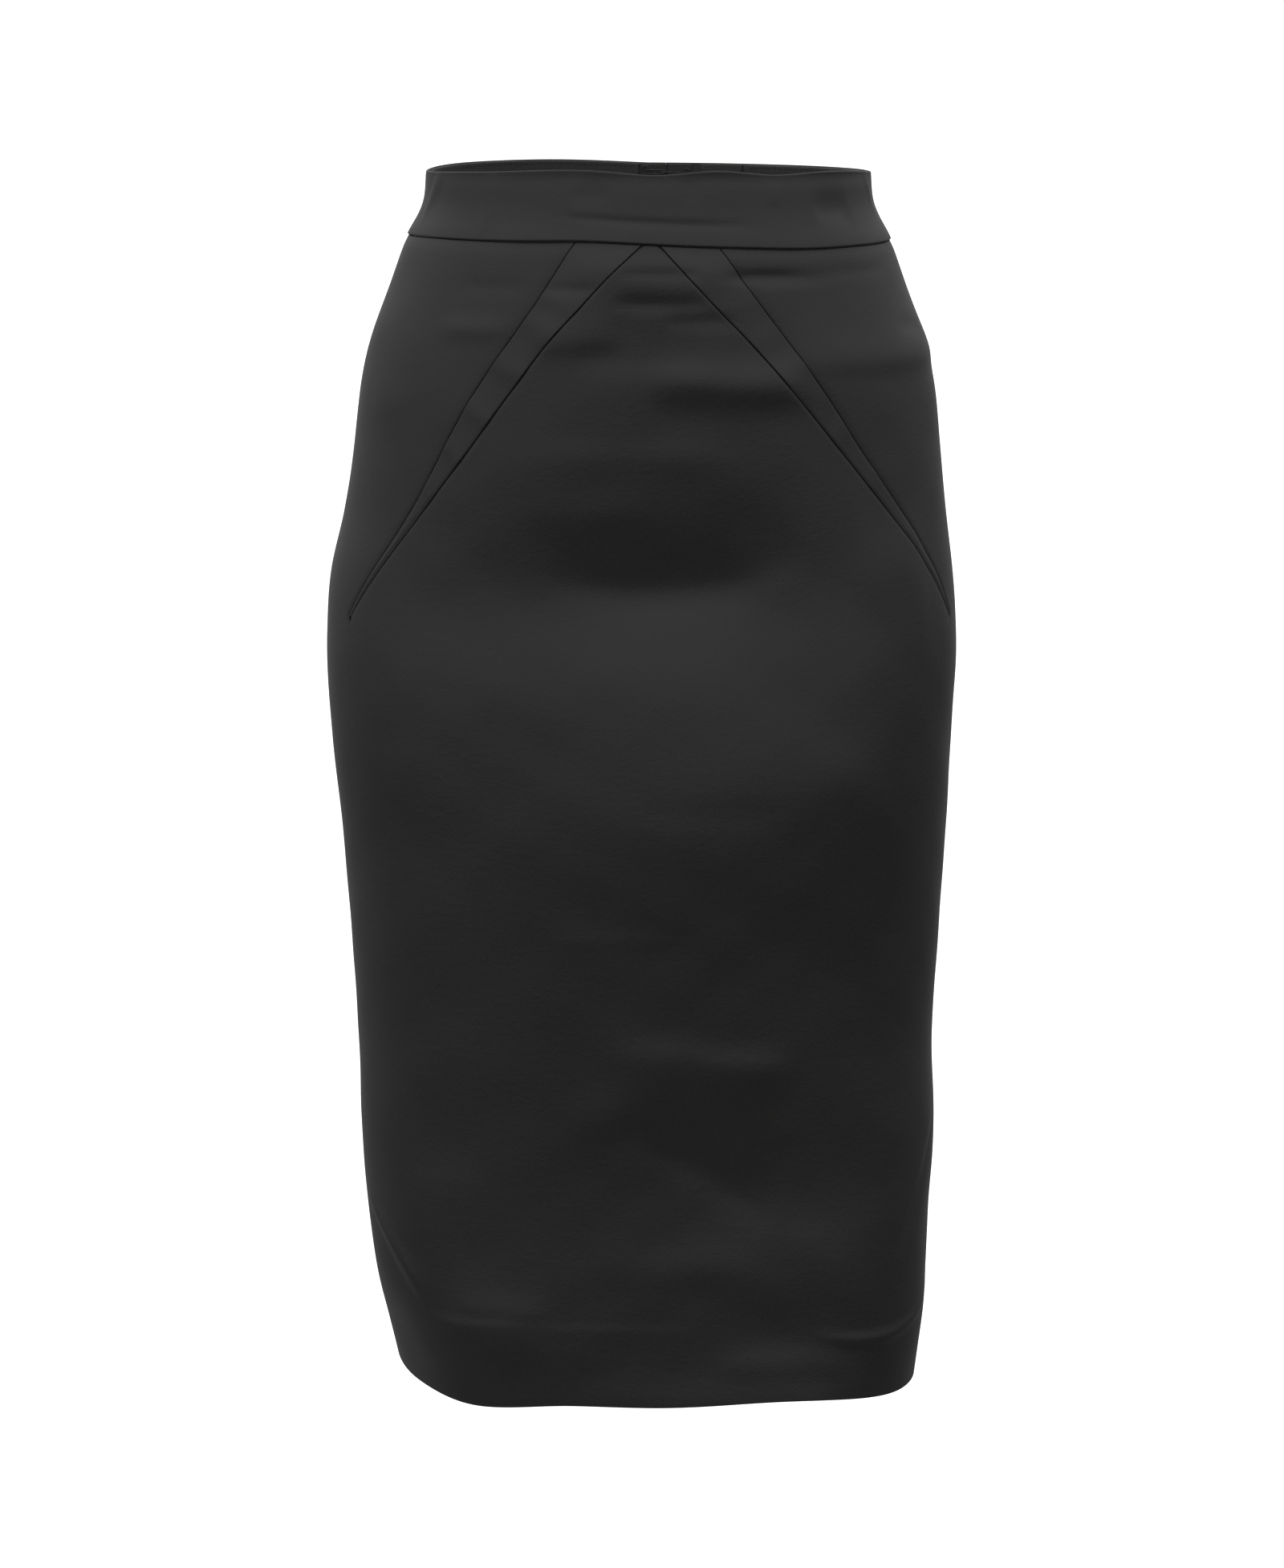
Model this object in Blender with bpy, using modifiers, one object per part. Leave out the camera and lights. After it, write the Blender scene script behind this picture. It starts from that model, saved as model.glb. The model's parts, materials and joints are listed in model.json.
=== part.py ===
"""A satin pencil skirt, filled out as it is worn, with nobody in it.

Units are metres and +Z is up. The front faces -Y, and left and right are as seen from the front.
The origin is the middle of the waistband, half way down its depth, where the waist holds it.

Every cloth piece lies on one surface, read from level sections at a drop below the top edge.
A place on it is a turn round the body (0 at the centre front, +90 degrees at the right side) and
a drop. Each piece is an open grid on that surface, and Solidify gives it its wall.
"""
import math
from collections import namedtuple

import bmesh
import bpy
import numpy as np
from mathutils import Matrix, Vector

OBJECT = "pencil_skirt"

# Driving sizes
BAND_DEPTH = 0.036          # waistband, top edge to seam
SKIRT_LENGTH = 0.6485       # top edge of the waistband to the hem
INSET_LENGTH = 0.196        # waist seam to the blunt tip of an inset band
SLOT_END = 0.2365           # drop at which the slot for an inset closes
ZIP_END = 0.190             # the zip's tapes run to the last row of the panels above this drop
VENT_LENGTH = 0.165         # walking vent, up from the hem
VENT_LAP = 0.038            # width of the underlap

CLOTH = 0.0012              # wall of a panel: satin with its pressed seam edges
BAND_WALL = 0.0016          # waistband: two layers of satin and its stiffening
TRIM_WALL = 0.0010          # ribbon, tape and end facing
SEAM = 0.0003               # clearance left at every seam
SLANT_SEAM = 0.00045        # the same clearance measured level across a slanting seam
FLARE_CLEAR = 0.0003        # more at the waist seam, where the band's inner edge leans down
BAND_PROUD = 0.0004         # the waistband's lower edge stands over the panels
INSET_PROUD = 0.0003        # the inset's folded edges stand over the front panel
TRIM_INSIDE = -(BAND_WALL + SEAM)   # outer face of the trim inside the waist

TAPE_WIDTH = 0.0145         # one side of the zip, from the centre back
FACING_FROM = 0.0190        # end facing, from and to, as distances from the centre back
FACING_TO = 0.0437
RIBBON_TOP = 0.0015         # drop of the ribbon's upper edge
RIBBON_WIDTH = 0.030
HALF_PARTING = 0.0012       # half the clearance for the slider's neck between the zip's sides
PARTING_END = 0.020         # drop at which the waistband's ends close again below the slider
BACK_SEAM_OFF = 0.0097      # the centre back's top sits this far right of the sections' middle

PULL_LENGTH = 0.0180
PULL_THICK = 0.0011
PULL_PLAY = 0.0004          # clearance between the pull and the slider's plate and bridge
SLIDER_DROP = 0.0130        # drop of the slider's middle
SLIDER_CHORD = 0.0180       # the slider and its pull hang along a chord this long
SLIDER_TALL = 0.0080
WIRE = 0.00035              # half thickness of the hook's and the eye's wire
HOOK_DROP = 0.0045          # drop of the hook and the eye
HOOK_CHORD = 0.0075

TOP_Z = BAND_DEPTH / 2
HALF_TURN = math.pi
RIGHT_SIDE = math.radians(90)
LEFT_SIDE = math.radians(-90)
BACK_SQUARE = 0.30          # how square the back sections are; SECTIONS gives the front's

# Level sections: half width, how far their middle is off the centre line, depth in front of and
# behind the side line, and how square the front is (0 an ellipse, 1 flat with round corners).
Section = namedtuple("Section", "drop half_width shift front back square")
SECTIONS = (
    Section(0.000, 0.1183, 0.0034, 0.0920, 0.0935, 0.10),
    Section(0.016, 0.1196, 0.0034, 0.0930, 0.0945, 0.12),
    Section(0.036, 0.1288, 0.0032, 0.0980, 0.0980, 0.15),
    Section(0.060, 0.1375, 0.0032, 0.1020, 0.1045, 0.20),
    Section(0.085, 0.1466, 0.0030, 0.1050, 0.1110, 0.25),
    Section(0.110, 0.1526, 0.0030, 0.1070, 0.1160, 0.30),
    Section(0.145, 0.1564, 0.0028, 0.1090, 0.1210, 0.35),
    Section(0.180, 0.1607, 0.0017, 0.1100, 0.1240, 0.40),
    Section(0.210, 0.1660, 0.0000, 0.1110, 0.1250, 0.45),
    Section(0.245, 0.1684, -0.0002, 0.1115, 0.1240, 0.50),
    Section(0.300, 0.1661, -0.0002, 0.1110, 0.1190, 0.50),
    Section(0.350, 0.1620, 0.0012, 0.1100, 0.1140, 0.50),
    Section(0.400, 0.1585, 0.0016, 0.1080, 0.1090, 0.55),
    Section(0.460, 0.1546, 0.0018, 0.1060, 0.1040, 0.60),
    Section(0.510, 0.1544, 0.0030, 0.1040, 0.1010, 0.65),
    Section(0.560, 0.1511, 0.0037, 0.1020, 0.0980, 0.75),
    Section(0.590, 0.1484, 0.0050, 0.1010, 0.0960, 0.80),
    Section(0.615, 0.1446, 0.0072, 0.1000, 0.0950, 0.80),
    Section(0.655, 0.1370, 0.0096, 0.0985, 0.0930, 0.80),
)

# Seams of the two inset bands, as turns in degrees at a drop. The right one reaches further
# round the hip than the left one, because the skirt sits a little askew.
Inset = namedtuple("Inset", "drop left_outer left_inner right_inner right_outer")
INSETS = (
    Inset(0.036, -17.5, -1.4, 2.7, 16.9),
    Inset(0.060, -23.7, -12.1, 12.2, 23.4),
    Inset(0.085, -29.8, -20.8, 21.5, 30.1),
    Inset(0.110, -36.1, -27.8, 29.6, 36.9),
    Inset(0.136, -42.2, -35.3, 38.4, 44.1),
    Inset(0.166, -48.7, -44.5, 49.4, 54.0),
    Inset(0.190, -54.6, -51.9, 59.1, 62.8),
    Inset(0.210, -60.2, -58.2, 67.5, 70.3),
    Inset(0.232, -67.2, -66.2, 76.0, 77.3),
)

# Rise of the hem, the band's top edge and the waist seam above their level, by turn in degrees.
Edge = namedtuple("Edge", "turn rise")
HEM_EDGE = (
    Edge(-180, 0.000),
    Edge(-90, 0.013),
    Edge(-66, 0.007),
    Edge(-45, -0.001),
    Edge(-20, 0.000),
    Edge(0, -0.001),
    Edge(30, 0.002),
    Edge(65, 0.001),
    Edge(90, 0.000),
    Edge(180, 0.000),
)
TOP_EDGE = (
    Edge(-180, 0.0004),
    Edge(-160, 0.0022),
    Edge(-125, 0.0020),
    Edge(-90, 0.0005),
    Edge(-48, 0.0025),
    Edge(-14, 0.0042),
    Edge(2, 0.0020),
    Edge(17, 0.0040),
    Edge(34, 0.0015),
    Edge(50, 0.0025),
    Edge(90, 0.0000),
    Edge(180, 0.0004),
)
WAIST_EDGE = (
    Edge(-180, 0.0000),
    Edge(-140, 0.0006),
    Edge(-90, 0.0027),
    Edge(-62, 0.0033),
    Edge(-34, 0.0032),
    Edge(-14, 0.0036),
    Edge(-2, 0.0024),
    Edge(10, 0.0011),
    Edge(24, 0.0000),
    Edge(38, -0.0010),
    Edge(60, -0.0006),
    Edge(90, 0.0000),
    Edge(180, 0.0000),
)

# The largest folds of the front: middle (turn in degrees and drop), reach to each side (degrees),
# reach up and down, and how far the cloth goes in (minus) or stands out.
Fold = namedtuple("Fold", "turn drop wide above below depth")
FOLDS = (
    Fold(4.0, 0.219, 32.0, 0.042, 0.034, -0.0080),      # hollow under the belly
    Fold(-44.0, 0.218, 34.0, 0.036, 0.038, -0.0046),
    Fold(6.0, 0.110, 34.0, 0.030, 0.026, 0.0018),
    Fold(24.0, 0.107, 26.0, 0.012, 0.012, 0.0016),      # ridges towards the right hip
    Fold(70.0, 0.096, 24.0, 0.013, 0.013, 0.0014),
    Fold(40.0, 0.322, 34.0, 0.044, 0.062, 0.0058),      # over the thighs
    Fold(0.0, 0.345, 30.0, 0.040, 0.055, 0.0018),
    Fold(-54.0, 0.312, 20.0, 0.030, 0.036, 0.0038),
    Fold(22.0, 0.535, 28.0, 0.048, 0.040, -0.0038),     # slack above the hem
    Fold(28.0, 0.608, 22.0, 0.028, 0.026, -0.0022),
    Fold(-42.0, 0.608, 24.0, 0.028, 0.024, 0.0036),
)

# Grid: rows and columns of the panels and the bands
SLOT_ROWS = 12
LOWER_ROWS = 15
INNER_DROPS = (0.008, 0.016, 0.026)     # rows that the band and the trim inside it share
BAND_DROPS = (0.0, *INNER_DROPS, BAND_DEPTH - SEAM - FLARE_CLEAR)
TRIM_DROPS = (RIBBON_TOP, *INNER_DROPS, RIBBON_TOP + RIBBON_WIDTH)
HEM_FADE = 0.060            # height above the hem at which its rise has died away
TOP_FADE = 0.026            # drop at which the top edge's rise has died away
WAIST_FADE = 0.030          # distance from the waist seam at which its rise has died away
SIDE_COLUMNS = 4
CENTRE_COLUMNS = 11
INSET_COLUMNS = 3
BAND_COLUMNS = 15
BACK_COLUMNS = 6            # from the side strip to the stations beside the centre back
SIDE_STRIP = math.radians(2.0)      # narrow column beside a side seam: the walls meet squarely


# The surface ---------------------------------------------------------------------------------

def column(table, key, name, at):
    """The column of a table at the places `at`, on a smooth cubic through its rows."""
    keys = np.array([getattr(row, key) for row in table], float)
    values = np.array([getattr(row, name) for row in table], float)
    slopes = np.gradient(values, keys)
    at = np.clip(np.asarray(at, float), keys[0], keys[-1])
    low = np.clip(np.searchsorted(keys, at) - 1, 0, len(keys) - 2)
    span = keys[low + 1] - keys[low]
    t = (at - keys[low]) / span
    return ((2 * t**3 - 3 * t**2 + 1) * values[low] + (t**3 - 2 * t**2 + t) * span * slopes[low]
            + (3 * t**2 - 2 * t**3) * values[low + 1] + (t**3 - t**2) * span * slopes[low + 1])


def section(name, drop):
    """One column of SECTIONS at a drop."""
    return column(SECTIONS, "drop", name, drop)


def signed_degrees(turn):
    """A turn as degrees from -180 to 180."""
    return (np.degrees(turn) + 180) % 360 - 180


def fold_height(turn, drop):
    """How far the folds stand out at a place: a round hump or trough for each row of FOLDS."""
    degrees = signed_degrees(turn)
    height = np.zeros(np.broadcast(turn, drop).shape)
    for fold in FOLDS:
        across = (degrees - fold.turn) / fold.wide
        down = (drop - fold.drop) / np.where(drop < fold.drop, fold.above, fold.below)
        height += fold.depth * np.exp(-across**2 - down**2)
    return height


def bare_surface(turn, drop):
    """The surface without its outward offset. The width follows the sine of the turn and the
    depth its cosine, made squarer by the even powers of the sine."""
    sine, cosine = np.sin(turn), np.cos(turn)
    forward = cosine > 0
    square = np.where(forward, section("square", drop), BACK_SQUARE)
    depth = np.where(forward, section("front", drop), section("back", drop))
    depth = depth + np.where(forward, fold_height(turn, drop), 0.0)
    x = section("shift", drop) + section("half_width", drop) * sine
    y = -depth * cosine * (1 + square * (sine**2 + sine**4) / 2)
    return np.stack([x, y, TOP_Z - drop + 0 * x], axis=-1)


def surface(turn, drop, out=0.0):
    """Points of the skirt's outer surface, moved out along its normal by `out`."""
    turn, drop = np.broadcast_arrays(np.asarray(turn, float), np.asarray(drop, float))
    step = 1e-4
    along = bare_surface(turn + step, drop) - bare_surface(turn - step, drop)
    down = bare_surface(turn, drop + step) - bare_surface(turn, drop - step)
    normal = np.cross(down, along)
    normal /= np.linalg.norm(normal, axis=-1, keepdims=True)
    return bare_surface(turn, drop) + normal * np.asarray(out, float)[..., None]


def level(turn, drop, distance):
    """The change of turn that moves a place level along the surface by a distance."""
    step = 1e-4
    reach = np.linalg.norm(bare_surface(turn + step, drop) - bare_surface(turn, drop), axis=-1)
    return distance * step / reach


def back_seam(drop):
    """The turn of the centre back, which runs from off centre at the top to true at the hem."""
    off = BACK_SEAM_OFF * (1 - np.asarray(drop) / SKIRT_LENGTH)
    return HALF_TURN - np.arcsin(off / section("half_width", drop))


def seam_turn(name, drop):
    """The turn of one of the insets' seams at a drop."""
    return np.radians(column(INSETS, "drop", name, drop))


def with_edge(turn, drop, table, at_drop, fade):
    """Drops moved by an edge's rise, fully at the edge and not at all a distance `fade` away."""
    rise = column(table, "turn", "rise", signed_degrees(turn))
    nearness = np.clip(1 - np.abs(drop - at_drop) / fade, 0, 1)
    return drop - rise * nearness


def panel_drops(turn, drop):
    """Drops of a panel's grid, its rows following the waist seam and the hem."""
    drop = with_edge(turn, drop, WAIST_EDGE, BAND_DEPTH, WAIST_FADE)
    return with_edge(turn, drop, HEM_EDGE, SKIRT_LENGTH, HEM_FADE)


def band_drops(turn, drop):
    """Drops of a waistband's grid, its rows following the waist seam and the top edge."""
    drop = with_edge(turn, drop, WAIST_EDGE, BAND_DEPTH, WAIST_FADE)
    return with_edge(turn, drop, TOP_EDGE, 0.0, TOP_FADE)


# Making objects ------------------------------------------------------------------------------

def clear_scene():
    """Remove what the scene holds."""
    for item in list(bpy.context.scene.objects):
        bpy.data.objects.remove(item, do_unlink=True)


def new_collection(name):
    """A collection of the scene."""
    group = bpy.data.collections.new(name)
    bpy.context.scene.collection.children.link(group)
    return group


def material(name, colour, roughness, metallic=0.0):
    """A Principled material of one colour."""
    finish = bpy.data.materials.new(name)
    finish.use_nodes = True
    shader = finish.node_tree.nodes["Principled BSDF"]
    shader.inputs["Base Color"].default_value = (*colour, 1.0)
    shader.inputs["Roughness"].default_value = roughness
    shader.inputs["Metallic"].default_value = metallic
    finish.diffuse_color = (*colour, 1.0)
    return finish


def add_object(name, data, finish, group):
    """A new object in a collection, with its material."""
    item = bpy.data.objects.new(name, data)
    if finish:
        data.materials.append(finish)
    group.objects.link(item)
    return item


def sheet(name, points, wall, finish, group, keep=None):
    """A cloth piece: a grid of points whose rows go down and whose columns go round to the
    right, so that it faces out, and a wall laid inwards. `keep` marks the cells that exist."""
    rows, columns = points.shape[:2]
    if keep is None:
        keep = np.ones((rows - 1, columns - 1), bool)
    build = bmesh.new()
    grid = [[build.verts.new(points[row, place]) for place in range(columns)]
            for row in range(rows)]
    for row, place in zip(*np.nonzero(keep)):
        build.faces.new((grid[row][place], grid[row + 1][place],
                         grid[row + 1][place + 1], grid[row][place + 1]))
    loose = [vert for vert in build.verts if not vert.link_faces]
    bmesh.ops.delete(build, geom=loose, context="VERTS")
    bmesh.ops.remove_doubles(build, verts=build.verts, dist=1e-6)
    mesh = bpy.data.meshes.new(name)
    build.to_mesh(mesh)
    build.free()
    mesh.shade_smooth()
    item = add_object(name, mesh, finish, group)
    shell = item.modifiers.new("Wall", "SOLIDIFY")
    shell.thickness = wall
    shell.offset = -1.0
    return item


def outline_object(name, outlines, thickness, finish, group):
    """A flat piece: closed outlines in the XY plane, the later ones holes, and a thickness."""
    curve = bpy.data.curves.new(name, "CURVE")
    curve.dimensions = "2D"
    curve.fill_mode = "BOTH"
    curve.extrude = thickness / 2
    for outline in outlines:
        spline = curve.splines.new("POLY")
        spline.points.add(len(outline) - 1)
        for point, (x, y) in zip(spline.points, outline):
            point.co = (x, y, 0, 1)
        spline.use_cyclic_u = True
    return as_mesh(add_object(name, curve, None, group), name, finish, group)


def wire_object(name, route, radius, finish, group):
    """A wire along a route of points, with closed ends."""
    curve = bpy.data.curves.new(name, "CURVE")
    curve.dimensions = "3D"
    curve.bevel_depth = radius
    curve.bevel_resolution = 2
    curve.use_fill_caps = True
    spline = curve.splines.new("POLY")
    spline.points.add(len(route) - 1)
    for point, place in zip(spline.points, route):
        point.co = (*place, 1)
    return as_mesh(add_object(name, curve, None, group), name, finish, group)


def as_mesh(item, name, finish, group):
    """The object of a curve made a mesh, with its caps welded on."""
    bpy.context.view_layer.update()
    graph = bpy.context.evaluated_depsgraph_get()
    mesh = bpy.data.meshes.new_from_object(item.evaluated_get(graph))
    build = bmesh.new()
    build.from_mesh(mesh)
    bmesh.ops.remove_doubles(build, verts=build.verts, dist=1e-6)
    bmesh.ops.recalc_face_normals(build, faces=build.faces)
    build.to_mesh(mesh)
    build.free()
    place = item.matrix_world.copy()
    bpy.data.objects.remove(item, do_unlink=True)
    mesh.name = name
    solid = add_object(name, mesh, finish, group)
    solid.matrix_world = place
    return solid


# Cloth pieces --------------------------------------------------------------------------------

def slot_drops():
    """Rows from the waist seam to the insets' tips."""
    return np.linspace(BAND_DEPTH + SEAM, BAND_DEPTH + INSET_LENGTH, SLOT_ROWS)


def panel_rows():
    """Rows of every panel: down the slots, their end, and on to the hem."""
    return np.concatenate([slot_drops(), np.linspace(SLOT_END, SKIRT_LENGTH, LOWER_ROWS)])


def front_turns(drop):
    """Turns of the front panel's columns at one drop: left of the slots, between, and right."""
    slots_end = drop >= SLOT_END
    at = min(drop, BAND_DEPTH + INSET_LENGTH)
    turns = [seam_turn(name, at) for name in Inset._fields[1:]]
    if slots_end:
        left = (turns[0] + turns[1]) / 2
        right = (turns[2] + turns[3]) / 2
        edges = (left, left, right, right)
    else:
        clear = [level(turn, at, SLANT_SEAM / 2) for turn in turns]
        edges = (turns[0] - clear[0], turns[1] + clear[1],
                 turns[2] - clear[2], turns[3] + clear[3])
    left_end = LEFT_SIDE + level(LEFT_SIDE, drop, SEAM / 2)
    right_end = RIGHT_SIDE - level(RIGHT_SIDE, drop, SEAM / 2)
    return np.concatenate([[left_end],
                           np.linspace(LEFT_SIDE + SIDE_STRIP, edges[0], SIDE_COLUMNS),
                           np.linspace(edges[1], edges[2], CENTRE_COLUMNS),
                           np.linspace(edges[3], RIGHT_SIDE - SIDE_STRIP, SIDE_COLUMNS),
                           [right_end]])


def build_front(finish, group):
    """The front panel, whose slots for the insets run down from the waist seam."""
    rows = panel_rows()
    turns = np.array([front_turns(drop) for drop in rows])
    drops = panel_drops(turns, np.broadcast_to(rows[:, None], turns.shape))
    keep = np.ones((turns.shape[0] - 1, turns.shape[1] - 1), bool)
    keep[:, SIDE_COLUMNS] = False
    keep[:, SIDE_COLUMNS + CENTRE_COLUMNS] = False
    return sheet("front_panel", surface(turns, drops), CLOTH, finish, group, keep)


def build_inset(name, from_seam, to_seam, finish, group):
    """One tapered inset band in its slot."""
    drops = slot_drops()
    turns = []
    for drop in drops:
        start, end = seam_turn(from_seam, drop), seam_turn(to_seam, drop)
        turns.append(np.linspace(start + level(start, drop, SLANT_SEAM / 2),
                                 end - level(end, drop, SLANT_SEAM / 2), INSET_COLUMNS))
    turns = np.array(turns)
    points = surface(turns, panel_drops(turns, drops[:, None] + 0 * turns), INSET_PROUD)
    return sheet(name, points, CLOTH, finish, group)


def right_back_turns(drop, parting):
    """Turns of the right back's columns, side seam to centre back. The last ones are stations
    at the edges of the trim inside the waist."""
    seam, per_metre = back_seam(drop), 1 / section("half_width", drop)
    stations = seam - np.array([FACING_TO, 2 * TAPE_WIDTH, TAPE_WIDTH, parting]) * per_metre
    side = RIGHT_SIDE + level(RIGHT_SIDE + SIDE_STRIP, drop, SEAM / 2)
    between = np.linspace(RIGHT_SIDE + SIDE_STRIP, stations[0], BACK_COLUMNS)[:-1]
    return np.concatenate([[side], between, stations])


def left_back_turns(drop, parting):
    """Turns of the left back's columns, centre back to side seam."""
    seam, per_metre = back_seam(drop), 1 / section("half_width", drop)
    stations = seam + np.array([parting, TAPE_WIDTH, 2 * TAPE_WIDTH, FACING_TO]) * per_metre
    left_side = LEFT_SIDE + 2 * HALF_TURN
    side = left_side - level(left_side - SIDE_STRIP, drop, SEAM / 2)
    between = np.linspace(stations[-1], left_side - SIDE_STRIP, BACK_COLUMNS)[1:]
    return np.concatenate([stations, between, [side]])


def build_back_left(finish, group):
    """The left back panel, whose edge lies over the vent's underlap."""
    rows = panel_rows()
    turns = np.array([left_back_turns(drop, SEAM / 2) for drop in rows])
    drops = panel_drops(turns, np.broadcast_to(rows[:, None], turns.shape))
    return sheet("back_left", surface(turns, drops), CLOTH, finish, group)


def build_back_right(finish, group):
    """The right back panel, with the vent's underlap in one with it. Beside the vent it dips
    under the left panel, and the underlap carries on beyond the centre back."""
    rows = panel_rows()
    plain = np.array([right_back_turns(drop, SEAM / 2) for drop in rows])
    per_metre = 1 / section("half_width", rows)
    beyond = np.linspace(VENT_LAP / 3, VENT_LAP, 3)
    lap = plain[:, -1:] + beyond[None, :] * per_metre[:, None]
    turns = np.concatenate([plain, lap], axis=1)
    drops = panel_drops(turns, np.broadcast_to(rows[:, None], turns.shape))
    in_vent = rows > SKIRT_LENGTH - VENT_LENGTH
    out = np.zeros(turns.shape)
    out[in_vent, plain.shape[1] - 1:] = -(CLOTH + 2 * SEAM)
    keep = np.ones((turns.shape[0] - 1, turns.shape[1] - 1), bool)
    keep[:, plain.shape[1] - 1:] = (in_vent[:-1] & in_vent[1:])[:, None]
    return sheet("back_right", surface(turns, drops, out), CLOTH, finish, group, keep)


def band_parting(drop):
    """Half the parting of the waistband's ends: open round the slider, closed at the seam."""
    return HALF_PARTING if drop < PARTING_END else SEAM / 2


def band_turns():
    """Turns of the waistband's front columns, between the strips beside the side seams."""
    return np.linspace(LEFT_SIDE + SIDE_STRIP, RIGHT_SIDE - SIDE_STRIP, BAND_COLUMNS)


def build_bands(finish, group):
    """The shaped waistband: a front and two backs, its lower edge standing over the panels."""
    drops = np.array(BAND_DROPS)
    out = BAND_PROUD * (drops / BAND_DEPTH)[:, None]
    sides = {
        "waistband_front": lambda drop: np.concatenate([
            [LEFT_SIDE + level(LEFT_SIDE, drop, SEAM / 2)], band_turns(),
            [RIGHT_SIDE - level(RIGHT_SIDE, drop, SEAM / 2)]]),
        "waistband_back_right": lambda drop: right_back_turns(drop, band_parting(drop)),
        "waistband_back_left": lambda drop: left_back_turns(drop, band_parting(drop)),
    }
    for name, turns_at in sides.items():
        turns = np.array([turns_at(drop) for drop in drops])
        at = band_drops(turns, np.broadcast_to(drops[:, None], turns.shape))
        sheet(name, surface(turns, at, out + 0 * turns), BAND_WALL, finish, group)


def build_ribbon(finish, group):
    """The ribbed ribbon inside the waistband, from the end facing round the front to the left
    side of the zip. Its columns are the band's, so that it lies flat against it."""
    drops = np.array(TRIM_DROPS)
    rows = []
    for drop in drops:
        left = left_back_turns(drop, 0.0) - 2 * HALF_TURN
        right = right_back_turns(drop, 0.0)
        clear = SEAM / section("half_width", drop)
        rows.append(np.concatenate([[left[1] + clear], left[2:-1], band_turns(),
                                    right[1:BACK_COLUMNS], [right[BACK_COLUMNS] - clear]]))
    turns = np.array(rows)
    at = band_drops(turns, np.broadcast_to(drops[:, None], turns.shape))
    sheet("waist_ribbon", surface(turns, at, TRIM_INSIDE + 0 * turns), TRIM_WALL, finish, group)


def build_end_facing(finish, group):
    """The twill facing on the right between the ribbon and the zip."""
    drops = np.array(TRIM_DROPS)
    distances = np.array([FACING_TO, 2 * TAPE_WIDTH, FACING_FROM])
    turns = back_seam(drops)[:, None] - distances / section("half_width", drops)[:, None]
    at = band_drops(turns, np.broadcast_to(drops[:, None], turns.shape))
    sheet("end_facing", surface(turns, at, TRIM_INSIDE + 0 * turns), TRIM_WALL, finish, group)


def build_tapes(finish, group):
    """The two sides of the zip, inside the band and the back panels. Their edges and rows are
    those of the cloth they are sewn to."""
    below = panel_rows()[1:]
    drops = np.concatenate([TRIM_DROPS[:-1], [BAND_DEPTH], below[below < ZIP_END]])
    seam = back_seam(drops)[:, None]
    per_metre = 1 / section("half_width", drops)[:, None]
    for name, distances in (("zip_tape_left", (HALF_PARTING, TAPE_WIDTH)),
                            ("zip_tape_right", (-TAPE_WIDTH, -HALF_PARTING))):
        turns = seam + np.array(distances) * per_metre
        at = band_drops(turns, np.broadcast_to(drops[:, None], turns.shape))
        sheet(name, surface(turns, at, TRIM_INSIDE + 0 * turns), TRIM_WALL, finish, group)


# Zip slider, pull, hook and eye ---------------------------------------------------------------

def seam_frame(drop, low_drop):
    """A frame on the centre back: its middle on the band at a drop, X level along the cloth,
    Y out of it and Z up along the chord to a lower drop."""
    middle, low = (Vector(surface(back_seam(place), place)) for place in (drop, low_drop))
    turn = back_seam(drop)
    beside = Vector(surface(turn - 0.01, drop)) - Vector(surface(turn + 0.01, drop))
    up = (middle - low).normalized()
    across = (beside - beside.dot(up) * up).normalized()
    out = up.cross(across)
    frame = Matrix((across, out, up)).transposed().to_4x4()
    frame.translation = middle
    return frame


def upright(frame, out, up):
    """The place of an outline drawn in XY that stands in a frame's XZ plane, moved out and up."""
    return frame @ Matrix.Translation((0, out, up)) @ Matrix.Rotation(math.radians(90), 4, "X")


def arc(centre, radius, start, end, count):
    """Points of an arc, angles in degrees."""
    angles = np.radians(np.linspace(start, end, count))
    return [(centre[0] + radius * math.cos(a), centre[1] + radius * math.sin(a)) for a in angles]


def build_slider(frame, finish, group, cutters):
    """The slider: a plate on each side of the zip, the neck between them, and the bridge that
    the pull hangs from. Its section is one outline, run along the zip."""
    outer_near, plate = 0.0009, 0.0012
    outer_far = outer_near + plate
    inner_near = TRIM_INSIDE - TRIM_WALL - 2 * SEAM
    inner_far = inner_near - plate
    wide, neck, inside = 0.0025, 0.00045, 0.0030
    outline = [(-wide, outer_far), (-wide, outer_near), (-neck, outer_near),
               (-neck, inner_near), (-inside, inner_near), (-inside, inner_far),
               (inside, inner_far), (inside, inner_near), (neck, inner_near),
               (neck, outer_near), (wide, outer_near), (wide, outer_far)]
    slider = outline_object("zip_slider", [outline], SLIDER_TALL, finish, group)
    slider.matrix_world = frame

    foot, height, radius, sunk = 0.0030, 0.0027, 0.00045, 0.0004
    sweep = np.radians(np.linspace(15, 165, 13))
    route = [(0, outer_far - sunk, -foot)]
    route += [(0, outer_far + height * math.sin(a), -foot * math.cos(a)) for a in sweep]
    route += [(0, outer_far - sunk, foot)]
    bridge = wire_object("slider_bridge", route, radius, finish, cutters)
    bridge.matrix_world = frame
    bridge.hide_render = True
    bridge.display_type = "WIRE"
    join = slider.modifiers.new("Bridge", "BOOLEAN")
    join.operation = "UNION"
    join.object = bridge
    join.use_self = True
    return outer_far


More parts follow.
